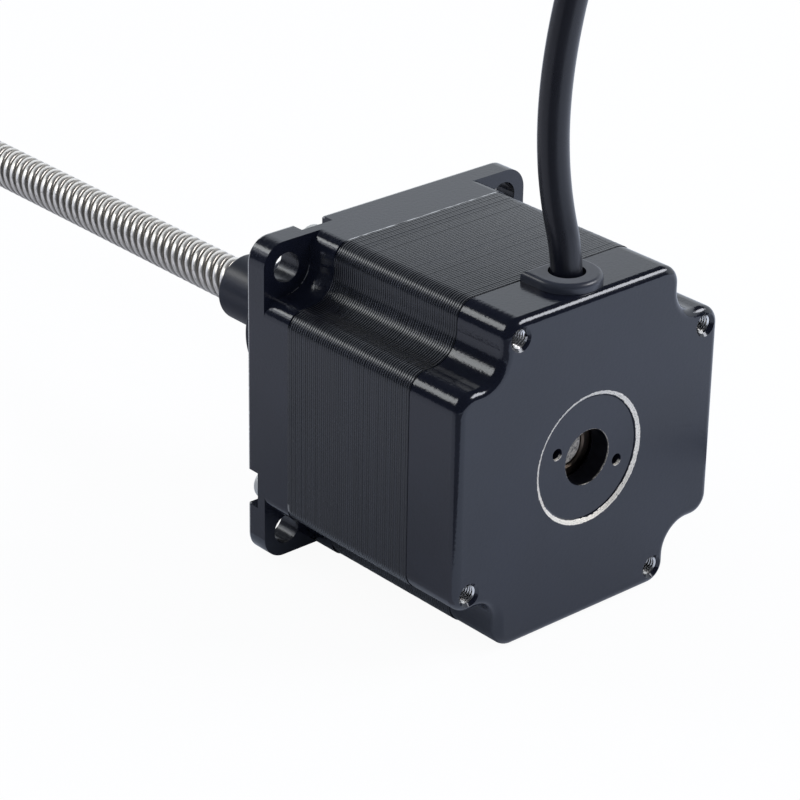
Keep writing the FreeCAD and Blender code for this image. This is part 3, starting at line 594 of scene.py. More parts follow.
@dataclass(frozen=True)
class Moulded:
    """Plastic or rubber with a fine surface grain."""

    name: str
    colour: Colour
    roughness: float = 0.45
    grain_size: float = 0.35 * MM
    grain_depth: float = 0.006 * MM
    grain_roughness: float = 0.12
    stretch: Point = (1.0, 1.0, 1.0)
    cloud_size: float = 7 * MM
    cloud_roughness: float = 0.05
    variation: float = 0.35

    def material(self) -> bpy.types.Material:
        """Make the plastic.

        Returns:
            The material.
        """
        coat = Coat(self.name)
        grain = coat.noise(self.grain_size, rough=0.55, stretch=self.stretch)
        clouds = coat.noise(self.cloud_size, detail=2.0)
        return coat.close(
            Base_Color=coat.blend(clouds, self.colour, shade(self.colour, 1 + self.variation)),
            Roughness=self.roughness + grain * self.grain_roughness + clouds * self.cloud_roughness,
            Normal=coat.bump(grain, self.grain_depth))


@dataclass(frozen=True)
class Winding:
    """Layers of enamelled copper wire."""

    name: str
    wire: float = 0.42 * MM
    wire_depth: float = 0.08 * MM
    colour: Colour = (0.62, 0.26, 0.11)
    gap_shade: float = 0.3
    gap_span: Span = (0.0, 0.7)
    roughness: float = 0.26
    cloud_size: float = 3 * MM
    cloud_roughness: float = 0.1

    def material(self) -> bpy.types.Material:
        """Make the wire's rows across the coil.

        Returns:
            The material.
        """
        coat = Coat(self.name)
        x, _, z = coat.axes()
        rows = (span_of(x, z) * (FULL_TURN / self.wire)).maths("SINE") * 0.5 + 0.5
        clouds = coat.noise(self.cloud_size, detail=2.0)
        gap = shade(self.colour, self.gap_shade)
        return coat.close(
            Base_Color=coat.blend(rows.rises(*self.gap_span), gap, self.colour), Metallic=1.0,
            Roughness=self.roughness + clouds * self.cloud_roughness,
            Normal=coat.bump(rows, self.wire_depth))


Finish = Union[Metal, Moulded, Winding]


# Modelling steps

def clear_selection() -> None:
    """Leave edit mode and deselect everything."""
    if bpy.context.object and bpy.context.object.mode != "OBJECT":
        bpy.ops.object.mode_set(mode="OBJECT")
    bpy.ops.object.select_all(action="DESELECT")


def take(piece: bpy.types.Object) -> None:
    """Make a piece the only selected one.

    Args:
        piece: the piece.
    """
    clear_selection()
    piece.select_set(True)
    bpy.context.view_layer.objects.active = piece


def open_edit(piece: bpy.types.Object) -> None:
    """Put a piece in edit mode with all of it selected.

    Args:
        piece: the piece.
    """
    take(piece)
    bpy.ops.object.mode_set(mode="EDIT")
    bpy.ops.mesh.select_all(action="SELECT")


def leave_edit() -> None:
    """Go back to object mode."""
    bpy.ops.object.mode_set(mode="OBJECT")


def newest(name: str) -> bpy.types.Object:
    """Name the piece that an operator has just added.

    Args:
        name: the piece's name.

    Returns:
        The piece.
    """
    piece = bpy.context.object
    piece.name = name
    piece.data.name = name
    return piece


def block(name: str, low: Vector, high: Vector) -> bpy.types.Object:
    """Add a block between two corners, for shaping.

    Args:
        name: the piece's name.
        low: the corner with the smallest coordinates.
        high: the corner with the largest coordinates.

    Returns:
        The block, with its place and size in its mesh.
    """
    clear_selection()
    bpy.ops.mesh.primitive_cube_add(size=1.0, location=(low + high) / 2)
    piece = newest(name)
    piece.scale = high - low
    take(piece)
    bpy.ops.object.transform_apply(location=True, rotation=True, scale=True)
    return piece


def choose(piece: bpy.types.Object, pick: Pick, test: Callable[[object], bool]) -> None:
    """Select the edges or faces that pass a test, in edit mode.

    Args:
        piece: the piece, which is left in edit mode.
        pick: whether edges or faces are selected.
        test: says whether an edge or face is taken.
    """
    open_edit(piece)
    bpy.ops.mesh.select_mode(type=pick.value)
    bpy.ops.mesh.select_all(action="DESELECT")
    mesh = bmesh.from_edit_mesh(piece.data)
    items = mesh.edges if pick is Pick.EDGE else mesh.faces
    for item in [item for item in items if test(item)]:
        item.select_set(True)
    mesh.select_flush_mode()
    bmesh.update_edit_mesh(piece.data)


def apply_modifier(piece: bpy.types.Object, kind: str, **settings: object) -> None:
    """Add a modifier and apply it.

    Args:
        piece: the piece.
        kind: the modifier's type.
        settings: the modifier's settings.
    """
    take(piece)
    modifier = piece.modifiers.new(kind.title(), kind)
    for key, value in settings.items():
        setattr(modifier, key, value)
    bpy.ops.object.modifier_apply(modifier=modifier.name)


def cut(piece: bpy.types.Object, cutter: bpy.types.Object) -> None:
    """Cut one piece by another, which is used up."""
    apply_modifier(piece, "BOOLEAN", operation="DIFFERENCE", object=cutter, solver="EXACT")
    bpy.data.objects.remove(cutter)


def copy_of(piece: bpy.types.Object, place: Matrix) -> bpy.types.Object:
    """Copy a piece together with its mesh.

    Args:
        piece: the piece.
        place: moves the copy's mesh.

    Returns:
        The copy.
    """
    copy = piece.copy()
    copy.data = piece.data.copy()
    copy.data.transform(place)
    bpy.context.scene.collection.objects.link(copy)
    return copy


def join(pieces: Sequence[bpy.types.Object], name: str) -> bpy.types.Object:
    """Join pieces into one.

    Args:
        pieces: the pieces, which are used up.
        name: the joined piece's name.

    Returns:
        The joined piece.
    """
    clear_selection()
    for piece in pieces:
        piece.select_set(True)
    bpy.context.view_layer.objects.active = pieces[0]
    bpy.ops.object.join()
    return newest(name)


def at_corners(piece: bpy.types.Object, place: Matrix, name: str) -> bpy.types.Object:
    """Copy a piece to the motor's four corners and join the copies.

    Args:
        piece: the piece, which is used up.
        place: moves it to its first corner.
        name: the joined piece's name.

    Returns:
        The joined piece.
    """
    turns = [Matrix.Rotation(FULL_TURN * number / CORNERS, 4, "Y") for number in range(CORNERS)]
    copies = [copy_of(piece, turn @ place) for turn in turns]
    bpy.data.objects.remove(piece)
    return join(copies, name)


def outline(name: str, points: Outline, closed: bool = False) -> bpy.types.Object:
    """Draw an outline in the XY plane by extruding one vertex from point to point.

    Args:
        name: the piece's name.
        points: radius and place along the axis.
        closed: whether the last point joins the first.

    Returns:
        The piece, in object mode.
    """
    clear_selection()
    bpy.ops.mesh.primitive_plane_add(size=1 * MM, location=(0, 0, 0))
    piece = newest(name)
    open_edit(piece)
    bpy.ops.mesh.merge(type="CENTER")
    bpy.ops.mesh.select_mode(type="VERT")
    bpy.ops.mesh.select_all(action="SELECT")
    spots = [Vector((x, y, 0)) for x, y in points]
    bpy.ops.transform.translate(value=spots[0])
    for before, after in zip(spots, spots[1:]):
        bpy.ops.mesh.extrude_region_move(TRANSFORM_OT_translate={"value": after - before})
    if closed:
        bpy.ops.mesh.select_all(action="DESELECT")
        mesh = bmesh.from_edit_mesh(piece.data)
        for vertex in mesh.verts:
            vertex.select_set(len(vertex.link_edges) == 1)
        bmesh.update_edit_mesh(piece.data)
        bpy.ops.mesh.edge_face_add()
    leave_edit()
    return piece


def smooth(piece: bpy.types.Object, angle: float) -> None:
    """Smooth the edges that bend less than an angle in degrees."""
    take(piece)
    bpy.ops.object.shade_smooth_by_angle(angle=math.radians(angle))


def tidy_mesh(piece: bpy.types.Object, angle: float) -> None:
    """Merge doubles, turn faces outwards and smooth the gentle edges.

    Args:
        piece: the piece.
        angle: the angle under which an edge is smooth, in degrees.
    """
    open_edit(piece)
    bpy.ops.mesh.remove_doubles(threshold=WELD)
    bpy.ops.mesh.normals_make_consistent(inside=False)
    leave_edit()
    smooth(piece, angle)


def lathe(name: str, points: Outline, steps: int, angle: float = 35) -> bpy.types.Object:
    """Turn an outline about the motor's axis.

    Args:
        name: the piece's name.
        points: radius and place along the axis.
        steps: the number of faces round the axis.
        angle: the angle under which an edge is smooth, in degrees.

    Returns:
        The turned piece.
    """
    piece = outline(name, points)
    open_edit(piece)
    bpy.ops.mesh.spin(steps=steps, angle=FULL_TURN, center=(0, 0, 0), axis=(0, 1, 0))
    leave_edit()
    tidy_mesh(piece, angle)
    return piece


def wind(piece: bpy.types.Object, lead: float, turns: int, steps: int, merged: bool, angle: float) -> None:
    """Wind an outline about the motor's axis into a right-hand thread.

    Args:
        piece: the outline.
        lead: how far one turn goes.
        turns: the number of turns.
        steps: the number of faces in a turn.
        merged: whether each turn is merged with the next.
        angle: the angle under which an edge is smooth, in degrees.
    """
    apply_modifier(
        piece, "SCREW", axis="Y", angle=FULL_TURN, screw_offset=lead, iterations=turns, steps=steps,
        render_steps=steps, use_smooth_shade=True, use_merge_vertices=merged, merge_threshold=TOUCH)
    tidy_mesh(piece, angle)


def give(piece: bpy.types.Object, material: bpy.types.Material) -> None:
    """Give a piece one material."""
    piece.data.materials.clear()
    piece.data.materials.append(material)


def mount(
        piece: bpy.types.Object, body: Body, material: bpy.types.Material,
        replaces: Iterable[str] = ()) -> None:
    """Dress a new piece and tie it to its body.

    Args:
        piece: the finished piece.
        body: the body that carries it.
        material: its finish.
        replaces: the solids that it stands for.
    """
    give(piece, material)
    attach(piece, body.value)
    if replaces:
        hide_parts(*replaces)
    LOG.info("made %s on %s", piece.name, body.value)


def dress(material: bpy.types.Material, *names: str) -> None:
    """Give solids a material.

    Args:
        material: the material.
        names: the solids' nodes.
    """
    for name in names:
        for slot in frame["nodes"][name].material_slots:
            slot.material = material
        LOG.info("dressed %s in %s", name, material.name)


# Studio

@dataclass(frozen=True)
class SoftBox:
    """An area lamp set by its direction from the motor."""

    name: str
    toward: Point
    width: float
    length: float
    watts: float
    colour: Colour
    distance: float = 0.9

    def build(self, aim: Vector) -> None:
        """Hang the lamp.

        Args:
            aim: the point that it faces.
        """
        lamp = bpy.data.lights.new(self.name, "AREA")
        lamp.shape = "RECTANGLE"
        lamp.size = self.width
        lamp.size_y = self.length
        lamp.energy = self.watts
        lamp.color = self.colour
        holder = bpy.data.objects.new(self.name, lamp)
        bpy.context.scene.collection.objects.link(holder)
        back = Vector(self.toward).normalized()
        holder.location = aim + back * self.distance
        holder.rotation_mode = "QUATERNION"
        holder.rotation_quaternion = back.to_track_quat("Z", "Y")


@dataclass(frozen=True)
class Card:
    """A matt card that only the gloss of the motor sees."""

    name: str
    level: float
    low: Point
    high: Point
    blue: float = 1.1
    roughness: float = 0.9

    def build(self) -> None:
        """Stand the card in the studio."""
        card = block(self.name, Vector(self.low), Vector(self.high))
        colour = (self.level, self.level, self.blue * self.level)
        give(card, Coat(self.name).close(Base_Color=colour, Roughness=self.roughness))
        card.visible_camera = False
        card.visible_diffuse = False
        card.visible_shadow = False
        card.visible_transmission = False
        card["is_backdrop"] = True


@dataclass
class Studio:
    """Camera, white sweep, lamps, and the cards that stand for the room and for the floor's shade in the
    motor's gloss.
    """

    camera_place: Point = (-0.31087, -0.35456, 0.22047)
    azimuth: float = 41.699
    elevation: float = 25.926
    roll: float = 0.990
    lens_pixels: float = 3101.6
    clip: Span = (0.01, 50.0)
    floor_size: float = 6.0
    floor_gap: float = 0.15 * MM
    paper_colour: Colour = (0.80, 0.85, 0.97)
    paper_roughness: float = 0.9
    glow_share: float = 0.95
    world_level: float = 0.72
    world_colour: Colour = (0.89, 0.94, 1.0)
    aim: Point = (0.0, -0.025, 0.0)
    lamps: Tuple[SoftBox, ...] = (
        SoftBox("key", (0.60, -0.44, 0.67), 0.55, 0.27, 4.6, (0.97, 0.965, 1.0)),
        SoftBox("strip", (-0.47, 0.672, 0.57), 0.33, 0.27, 1.2, (1.0, 1.0, 0.97)),
    )

    def build(self, floor_height: float) -> None:
        """Set up the whole studio.

        Args:
            floor_height: the height of the surface under the motor.
        """
        bpy.context.scene.view_settings.view_transform = "Standard"
        self.camera()
        self.world()
        self.floor(floor_height - self.floor_gap)
        for card in self.cards(floor_height):
            card.build()
        for lamp in self.lamps:
            lamp.build(Vector(self.aim))

    def camera(self) -> None:
        """Stand the camera where the photograph was taken from."""
        data = bpy.data.cameras.new("camera")
        data.sensor_width = SENSOR_WIDTH
        data.lens = self.lens_pixels / IMAGE_WIDTH * SENSOR_WIDTH
        data.clip_start, data.clip_end = self.clip
        camera = bpy.data.objects.new("camera", data)
        turn, tilt = math.radians(self.azimuth), math.radians(self.elevation)
        level = Vector((math.sin(turn), math.cos(turn), 0.0)) * math.cos(tilt)
        upright = (level - Vector((0.0, 0.0, math.sin(tilt)))).to_track_quat("-Z", "Y")
        lean = Matrix.Rotation(math.radians(self.roll), 3, "Z").to_quaternion()
        camera.rotation_mode = "QUATERNION"
        camera.rotation_quaternion = upright @ lean
        camera.location = self.camera_place
        bpy.context.scene.collection.objects.link(camera)
        bpy.context.scene.camera = camera

    def world(self) -> None:
        """Make the white surroundings, dimmer where they only fill shadows."""
        world = bpy.data.worlds.new("room")
        bpy.context.scene.world = world
        world.use_nodes = True
        recipe = Recipe(world.node_tree)
        seen = recipe.seen_by(Ray.CAMERA, Ray.GLOSSY, Ray.TRANSMISSION)
        background = world.node_tree.nodes["Background"]
        recipe.put(background.inputs["Strength"], seen * (1.0 - self.world_level) + self.world_level)
        recipe.put(background.inputs["Color"], self.world_colour)

    def floor(self, height: float) -> None:
        """Lay the white sweep, which keeps a soft shadow.

        Args:
            height: the sweep's height.
        """
        clear_selection()
        bpy.ops.mesh.primitive_plane_add(size=self.floor_size, location=(0, 0, height))
        sweep = newest("floor")
        coat = Coat("white_sweep")
        coat.close(Base_Color=self.paper_colour, Roughness=self.paper_roughness)
        seen = coat.seen_by(Ray.CAMERA, Ray.TRANSMISSION)
        glow = coat.node("ShaderNodeEmission", {}, {"Color": (1.0, 1.0, 1.0), "Strength": 1.0})
        paper = Term(coat, coat.shader.outputs[0])
        mixed = coat.node("ShaderNodeMixShader", {}, {0: seen * self.glow_share, 1: paper, 2: glow})
        coat.put(coat.output.inputs[0], mixed)
        give(sweep, coat.material)
        sweep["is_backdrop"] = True

    @staticmethod
    def cards(floor_height: float) -> List[Card]:
        """Place the cards: three on the floor, darker than the sweep as painted shade in the motor's gloss,
        one bright card beside the screw as a painted reflection, and the dark room behind the camera.

        Args:
            floor_height: the height of the surface under the motor.

        Returns:
            The cards.
        """
        under, over = floor_height + 0.1 * MM, floor_height + 0.2 * MM
        raised, top = floor_height + 0.3 * MM, floor_height + 0.4 * MM
        dark = 0.03
        return [
            # Painted shade: floor cards darker than the sweep, seen only in reflections.
            Card("left_shade_card", 0.55, (-1.6, -0.055, under), (-0.032, 1.2, over)),
            Card("near_shade_card", 0.15, (-1.6, -0.45, under), (-0.06, -0.056, over)),
            Card("thread_shade_card", 0.28, (-0.06, 0.04, raised), (0.06, 0.6, top)),
            # Painted reflection: a bright card beside the screw that lights nothing.
            Card("fill_reflection_card", 0.85, (-0.26, 0.29, 0.02), (-0.25, 0.55, 0.28)),
            Card("room_card", dark, (-1.6, -1.62, -0.1), (1.8, -1.6, 1.3)),
            Card("side_card", dark, (-1.62, -1.6, -0.1), (-1.6, 2.2, 1.6)),
            Card("roof_card", dark, (-1.6, -1.6, 1.3), (1.8, 1.5, 1.32)),
        ]


# Cable

@dataclass
class CableRun:
    """The jacketed cable and the four leads at its far end."""

    diameter: float = 5.0 * MM
    outlet: Point = (0.0, -43.8 * MM, 29.8 * MM)
    jacket_start: float = 23.6 * MM
    length: float = 0.283
    route: Tuple[Point, ...] = (
        (0.04, -0.02, 0.26), (-0.24, 0.41, 2.44), (-0.38, 0.51, 4.73), (-0.27, 0.4, 7.23),
        (0.1, 0.07, 10.04), (1.5, -1.04, 13.14), (4.3, -2.94, 15.34), (8.2, -5.64, 14.84),
        (11.1, -7.84, 12.24), (12.7, -9.24, 8.24), (13.2, -10.14, 3.64), (13.3, -10.44, -1.96),
        (13.3, -10.44, -7.0), (13.3, -8.94, -9.6),
    )
    tail: Tuple[Tuple[float, float], ...] = ((13.3, -6.34), (13.3, -3.34))
    floor: float = -28.2 * MM
    round_steps: int = 10
    length_steps: int = 16
    curve_order: int = 3
    jacket: Moulded = Moulded(
        "cable_jacket", (0.004, 0.0047, 0.009), roughness=0.20, grain_size=1.6 * MM,
        grain_depth=0.012 * MM, stretch=(1.0, 1.0, 4.0))

    def points(self) -> List[Vector]:
        """Work out the route, which is given in diameters from the outlet.

        Returns:
            The route's points in metres, from the jacket's end inside the cap.
        """
        start = Vector(self.outlet)
        spots = [Vector((start.x, start.y, self.jacket_start))]
        spots += [start + Vector(step) * self.diameter for step in self.route]
        rest = self.floor + self.diameter / 2
        for x, y in self.tail:
            spots.append(Vector((start.x + x * self.diameter, start.y + y * self.diameter, rest)))
        return spots

    def build(self) -> None:
        """Lay the cable as one smooth curve and dress the leads."""
        curve = bpy.data.curves.new("cable", "CURVE")
        curve.dimensions = "3D"
        curve.bevel_depth = self.diameter / 2
        curve.bevel_resolution = self.round_steps
        curve.resolution_u = self.length_steps
        curve.use_fill_caps = True
        spline = curve.splines.new("NURBS")
        spots = self.points()
        spline.points.add(len(spots) - 1)
        for point, spot in zip(spline.points, spots):
            point.co = (*spot, 1.0)
        spline.order_u = self.curve_order
        spline.use_endpoint_u = True
        cable = bpy.data.objects.new("cable", curve)
        cable.visible_glossy = False
        bpy.context.scene.collection.objects.link(cable)
        mount(cable, Body.HOUSING, self.jacket.material(), ["cable_jacket"])
        for name, colour in LEAD_COLOURS.items():
            lead = Moulded(name, colour, roughness=0.3, grain_size=0.5 * MM, grain_depth=0.004 * MM)
            dress(lead.material(), name)
        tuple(spots[0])


# Housing

@dataclass(frozen=True)
class FrontWear:
    """Where the front casting is machined, worn or thinly painted, and where a painted highlight lies in the
    ears' creases.
    """

    half_width: float
    bolt_spot: float = 23.57 * MM
    bolt_radius: float = 2.55 * MM
    flange_thickness: float = 4.4 * MM
    relief_radius: float = RELIEF_RADIUS
    soft: float = 0.02 * MM
    wall: float = 0.06 * MM
    wall_share: float = 0.3
    edge_depth: float = 0.40 * MM
    edge_width: float = 0.60 * MM
    edge_share: float = 0.7
    edge_span: Span = (0.22, 0.34)
    crease_inside: float = 0.12 * MM
    crease_outside: float = 0.05 * MM
    crease_below: float = 0.10 * MM
    crease_ends: Span = (-0.3 * MM, 0.1 * MM)
    crease_share: float = 0.20
    crease_span: Span = (0.42, 0.56)
    chip_size: float = 1.6 * MM
    chip_stretch: Point = (1.0, 0.4, 1.0)

    def bare(self, coat: Coat) -> Term:
        """Find the machined mounting face, the worn edge next to it, and a ragged bare line in the ears'
        creases that is a painted highlight along their fillets.

        Args:
            coat: the material's node tree.

        Returns:
            The share of bare metal.
        """
        x, y, z = coat.axes()
        chips = coat.noise(self.chip_size, detail=4.0, rough=0.65, stretch=self.chip_stretch)
        face = y.past(-self.soft, self.soft / 2)
        rim = abs(x).larger(abs(z)).past(self.half_width - self.edge_depth, self.soft)
        edge = rim * y.past(-self.edge_width, 2 * self.soft)
        across, up = abs(x) - self.bolt_spot, abs(z) - self.bolt_spot
        inside, outside = self.relief_radius - self.crease_inside, self.relief_radius + self.crease_outside
        crease = span_of(across, up).between(inside, outside, self.soft)
        crease = crease * (1 - across.larger(up).rises(*self.crease_ends))
        back = -self.flange_thickness
        crease = crease * y.between(back - self.crease_below, back + self.crease_outside, self.soft)
        worn_edge = edge * chips.rises(*self.edge_span) * self.edge_share
        # Painted highlight: the ragged bare line in the creases stands for the light on the ears' fillets.
        crease_highlight = crease * chips.rises(*self.crease_span) * self.crease_share
        return face.larger(worn_edge.larger(crease_highlight))

    def dull(self, coat: Coat) -> Term:
        """Find the walls of the flange's screw holes.

        Args:
            coat: the material's node tree.

        Returns:
            The share of dull paint.
        """
        x, _, z = coat.axes()
        away = span_of(abs(x) - self.bolt_spot, abs(z) - self.bolt_spot)
        return (1 - away.past(self.bolt_radius + self.wall, 2 * self.soft)) * self.wall_share


@dataclass(frozen=True)
class RearWear:
    """Where the rear casting is turned bare, chipped or thinly painted, and where painted shade darkens its
    bore and the foot of the recess's bevel.
    """

    face: float
    recess_radius: float = 10.4 * MM
    recess_rim: float = 11.25 * MM
    bore_radius: float = 4.75 * MM
    encoder_spot: Tuple[float, float] = (-6.628 * MM, 2.544 * MM)
    encoder_radius: float = 1.0 * MM
    soft: float = 0.02 * MM
    wall: float = 0.06 * MM
    chip_size: float = 0.32 * MM
    chip_span: Span = (0.38, 0.50)
    wander_size: float = 5 * MM
    bevel_start: float = 0.16 * MM
    bevel_end: float = 0.04 * MM
    bevel_depth: Span = (0.62 * MM, 0.72 * MM)
    bevel_wander: float = 0.5 * MM
    bevel_middle: float = 0.35
    bevel_chips: float = 0.55 * MM
    speck_size: float = 0.2 * MM
    speck_span: Span = (0.34, 0.42)
    lip_depth: Span = (0.72 * MM, 0.80 * MM)
    lip_chips: float = 0.5 * MM
    lip_arc: Span = (0.42, 0.50)
    lip_span: Span = (0.40, 0.55)
    rim_chips: float = 0.6 * MM
    rim_arc: Span = (-0.95 * MM, -0.55 * MM)
    rim_lean: float = 0.3
    rim_depth: Span = (1.0 * MM, 1.1 * MM)
    rim_depth_chips: float = 0.8 * MM
    foot_limits: Span = (-0.05 * MM, 0.20 * MM)
    foot_soft: float = 0.03 * MM
    foot_chips: float = 0.3 * MM
    foot_chip_size: float = 0.4 * MM
    foot_side: Span = (1 * MM, 5 * MM)
    foot_lean: float = 0.5

    def dull(self, coat: Coat) -> Term:
        """Find the wall of the rear bore and the foot of the recess's bevel on the right, both darkened by
        the rear paint as painted shade.

        Args:
            coat: the material's node tree.

        Returns:
            The share of dull paint, darkened there as painted shade.
        """
        x, _, z = coat.axes()
        radius = span_of(x, z)
        ragged = radius + (coat.noise(self.foot_chip_size, rough=0.6) - 0.5) * self.foot_chips
        low, high = (self.recess_radius + limit for limit in self.foot_limits)
        # Painted shade: a dark line along the foot of the bevel, on the right side only.
        foot = ragged.between(low, high, self.foot_soft) * (x + z * self.foot_lean).rises(*self.foot_side)
        return foot.larger(1 - radius.past(self.bore_radius + self.wall, 2 * self.soft))

    def bare(self, coat: Coat) -> Term:
        """Find the bare bevel round the recess and the chipped rims of the bore and the small holes.

        Args:
            coat: the material's node tree.

        Returns:
            The share of bare metal.
        """
        x, y, z = coat.axes()
        chips = coat.noise(self.chip_size, detail=4.0, rough=0.7)
        wander = coat.noise(self.wander_size, detail=2.0)
        ragged = chips - 0.5
        depth = y - self.face
        radius = span_of(x, z) + ragged * self.bevel_chips
        inner = radius - (wander - self.bevel_middle) * self.bevel_wander
        bevel = inner.past(self.recess_radius + self.bevel_start, self.soft)
        bevel = bevel * (1 - radius.past(self.recess_rim + self.bevel_end, self.soft))
        bevel = bevel * (1 - depth.rises(*self.bevel_depth))
        specks = coat.noise(self.speck_size, rough=0.7).rises(*self.speck_span)
        lip = 1 - (depth + ragged * self.lip_chips).rises(*self.lip_depth)
        bore = 1 - radius.past(self.bore_radius + 2 * self.soft, 2 * self.soft)
        bore = bore * lip * wander.rises(*self.lip_arc) * chips.rises(*self.lip_span)
        near = 1 - (depth + ragged * self.rim_depth_chips).rises(*self.rim_depth)
        first, second = (self.rim(x - side * self.encoder_spot[0], z - side * self.encoder_spot[1], ragged)
                         for side in (1, -1))
        rims = first.larger(second) * near * chips.rises(*self.chip_span)
        return (bevel * specks).larger(rims).larger(bore)

    def rim(self, across: Term, up: Term, ragged: Term) -> Term:
        """Find the lower part of one small hole's rim.

        Args:
            across: the distance from the hole's middle along X.
            up: the distance from the hole's middle along Z.
            ragged: chips about 0.

        Returns:
            The share of the rim.
        """
        away = span_of(across, up) + ragged * self.rim_chips
        lower = 1 - (up - across * self.rim_lean).rises(*self.rim_arc)
        return (1 - away.past(self.encoder_radius + self.wall + self.soft, 2 * self.soft)) * lower


@dataclass
class EndCaps:
    """The two painted castings and the threads of the tapped holes."""

    thread_spot: Tuple[float, float] = TIE_SPOT
    thread_radius: float = 1.55 * MM
    thread_pitch: float = 0.5 * MM
    thread_turns: int = 9
    thread_set_in: float = 0.35 * MM
    thread_overlap: float = 0.02 * MM
    thread_depth: float = 0.58
    thread_flat: Span = (0.40, 0.52)
    thread_foot: float = 0.92
    thread_steps: int = 24
    smooth_angle: float = 40
    front_paint: CastingPaint = CastingPaint("front_cap_paint")
    # The rear paint's shade_metal darkens its dull places as painted shade.
    rear_paint: CastingPaint = CastingPaint(
        "rear_cap_paint", bare_colour=(1.0, 0.94, 0.84), bare_metal=0.4, shade_metal=0.8)
    cut_metal: Metal = Metal(
        "cut_thread", (0.80, 0.79, 0.77), roughness=0.16, mark_size=0.2 * MM, mark_depth=0.0)

    def build(self) -> None:
        """Dress the castings and cut their threads."""
        front = FrontWear(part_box("front_end_cap")[1][0])
        rear = RearWear(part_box("rear_end_cap")[0][1])
        dress(self.front_paint.material(front.bare, front.dull), "front_end_cap")
        dress(self.rear_paint.material(rear.bare, rear.dull), "rear_end_cap")
        spot = Vector((self.thread_spot[0], rear.face + self.thread_set_in, self.thread_spot[1]))
        threads = at_corners(self.ridge(), Matrix.Translation(spot), "tapped_threads")
        mount(threads, Body.HOUSING, self.cut_metal.material())

    def ridge(self) -> bpy.types.Object:
        """Wind the thread's ridge inside one hole, rising along +Y from the origin.

        Returns:
            The ridge, closed at both ends.
        """
        pitch = self.thread_pitch
        wall = self.thread_radius + self.thread_overlap
        crest = wall - self.thread_depth * pitch
        low, high = self.thread_flat
        section = ((wall, 0.0), (crest, low * pitch), (crest, high * pitch), (wall, self.thread_foot * pitch))
        piece = outline("tie_thread", section, closed=True)
        choose(piece, Pick.EDGE, lambda edge: True)
        bpy.ops.mesh.edge_face_add()
        leave_edit()
        wind(piece, pitch, self.thread_turns, self.thread_steps, False, self.smooth_angle)
        return piece


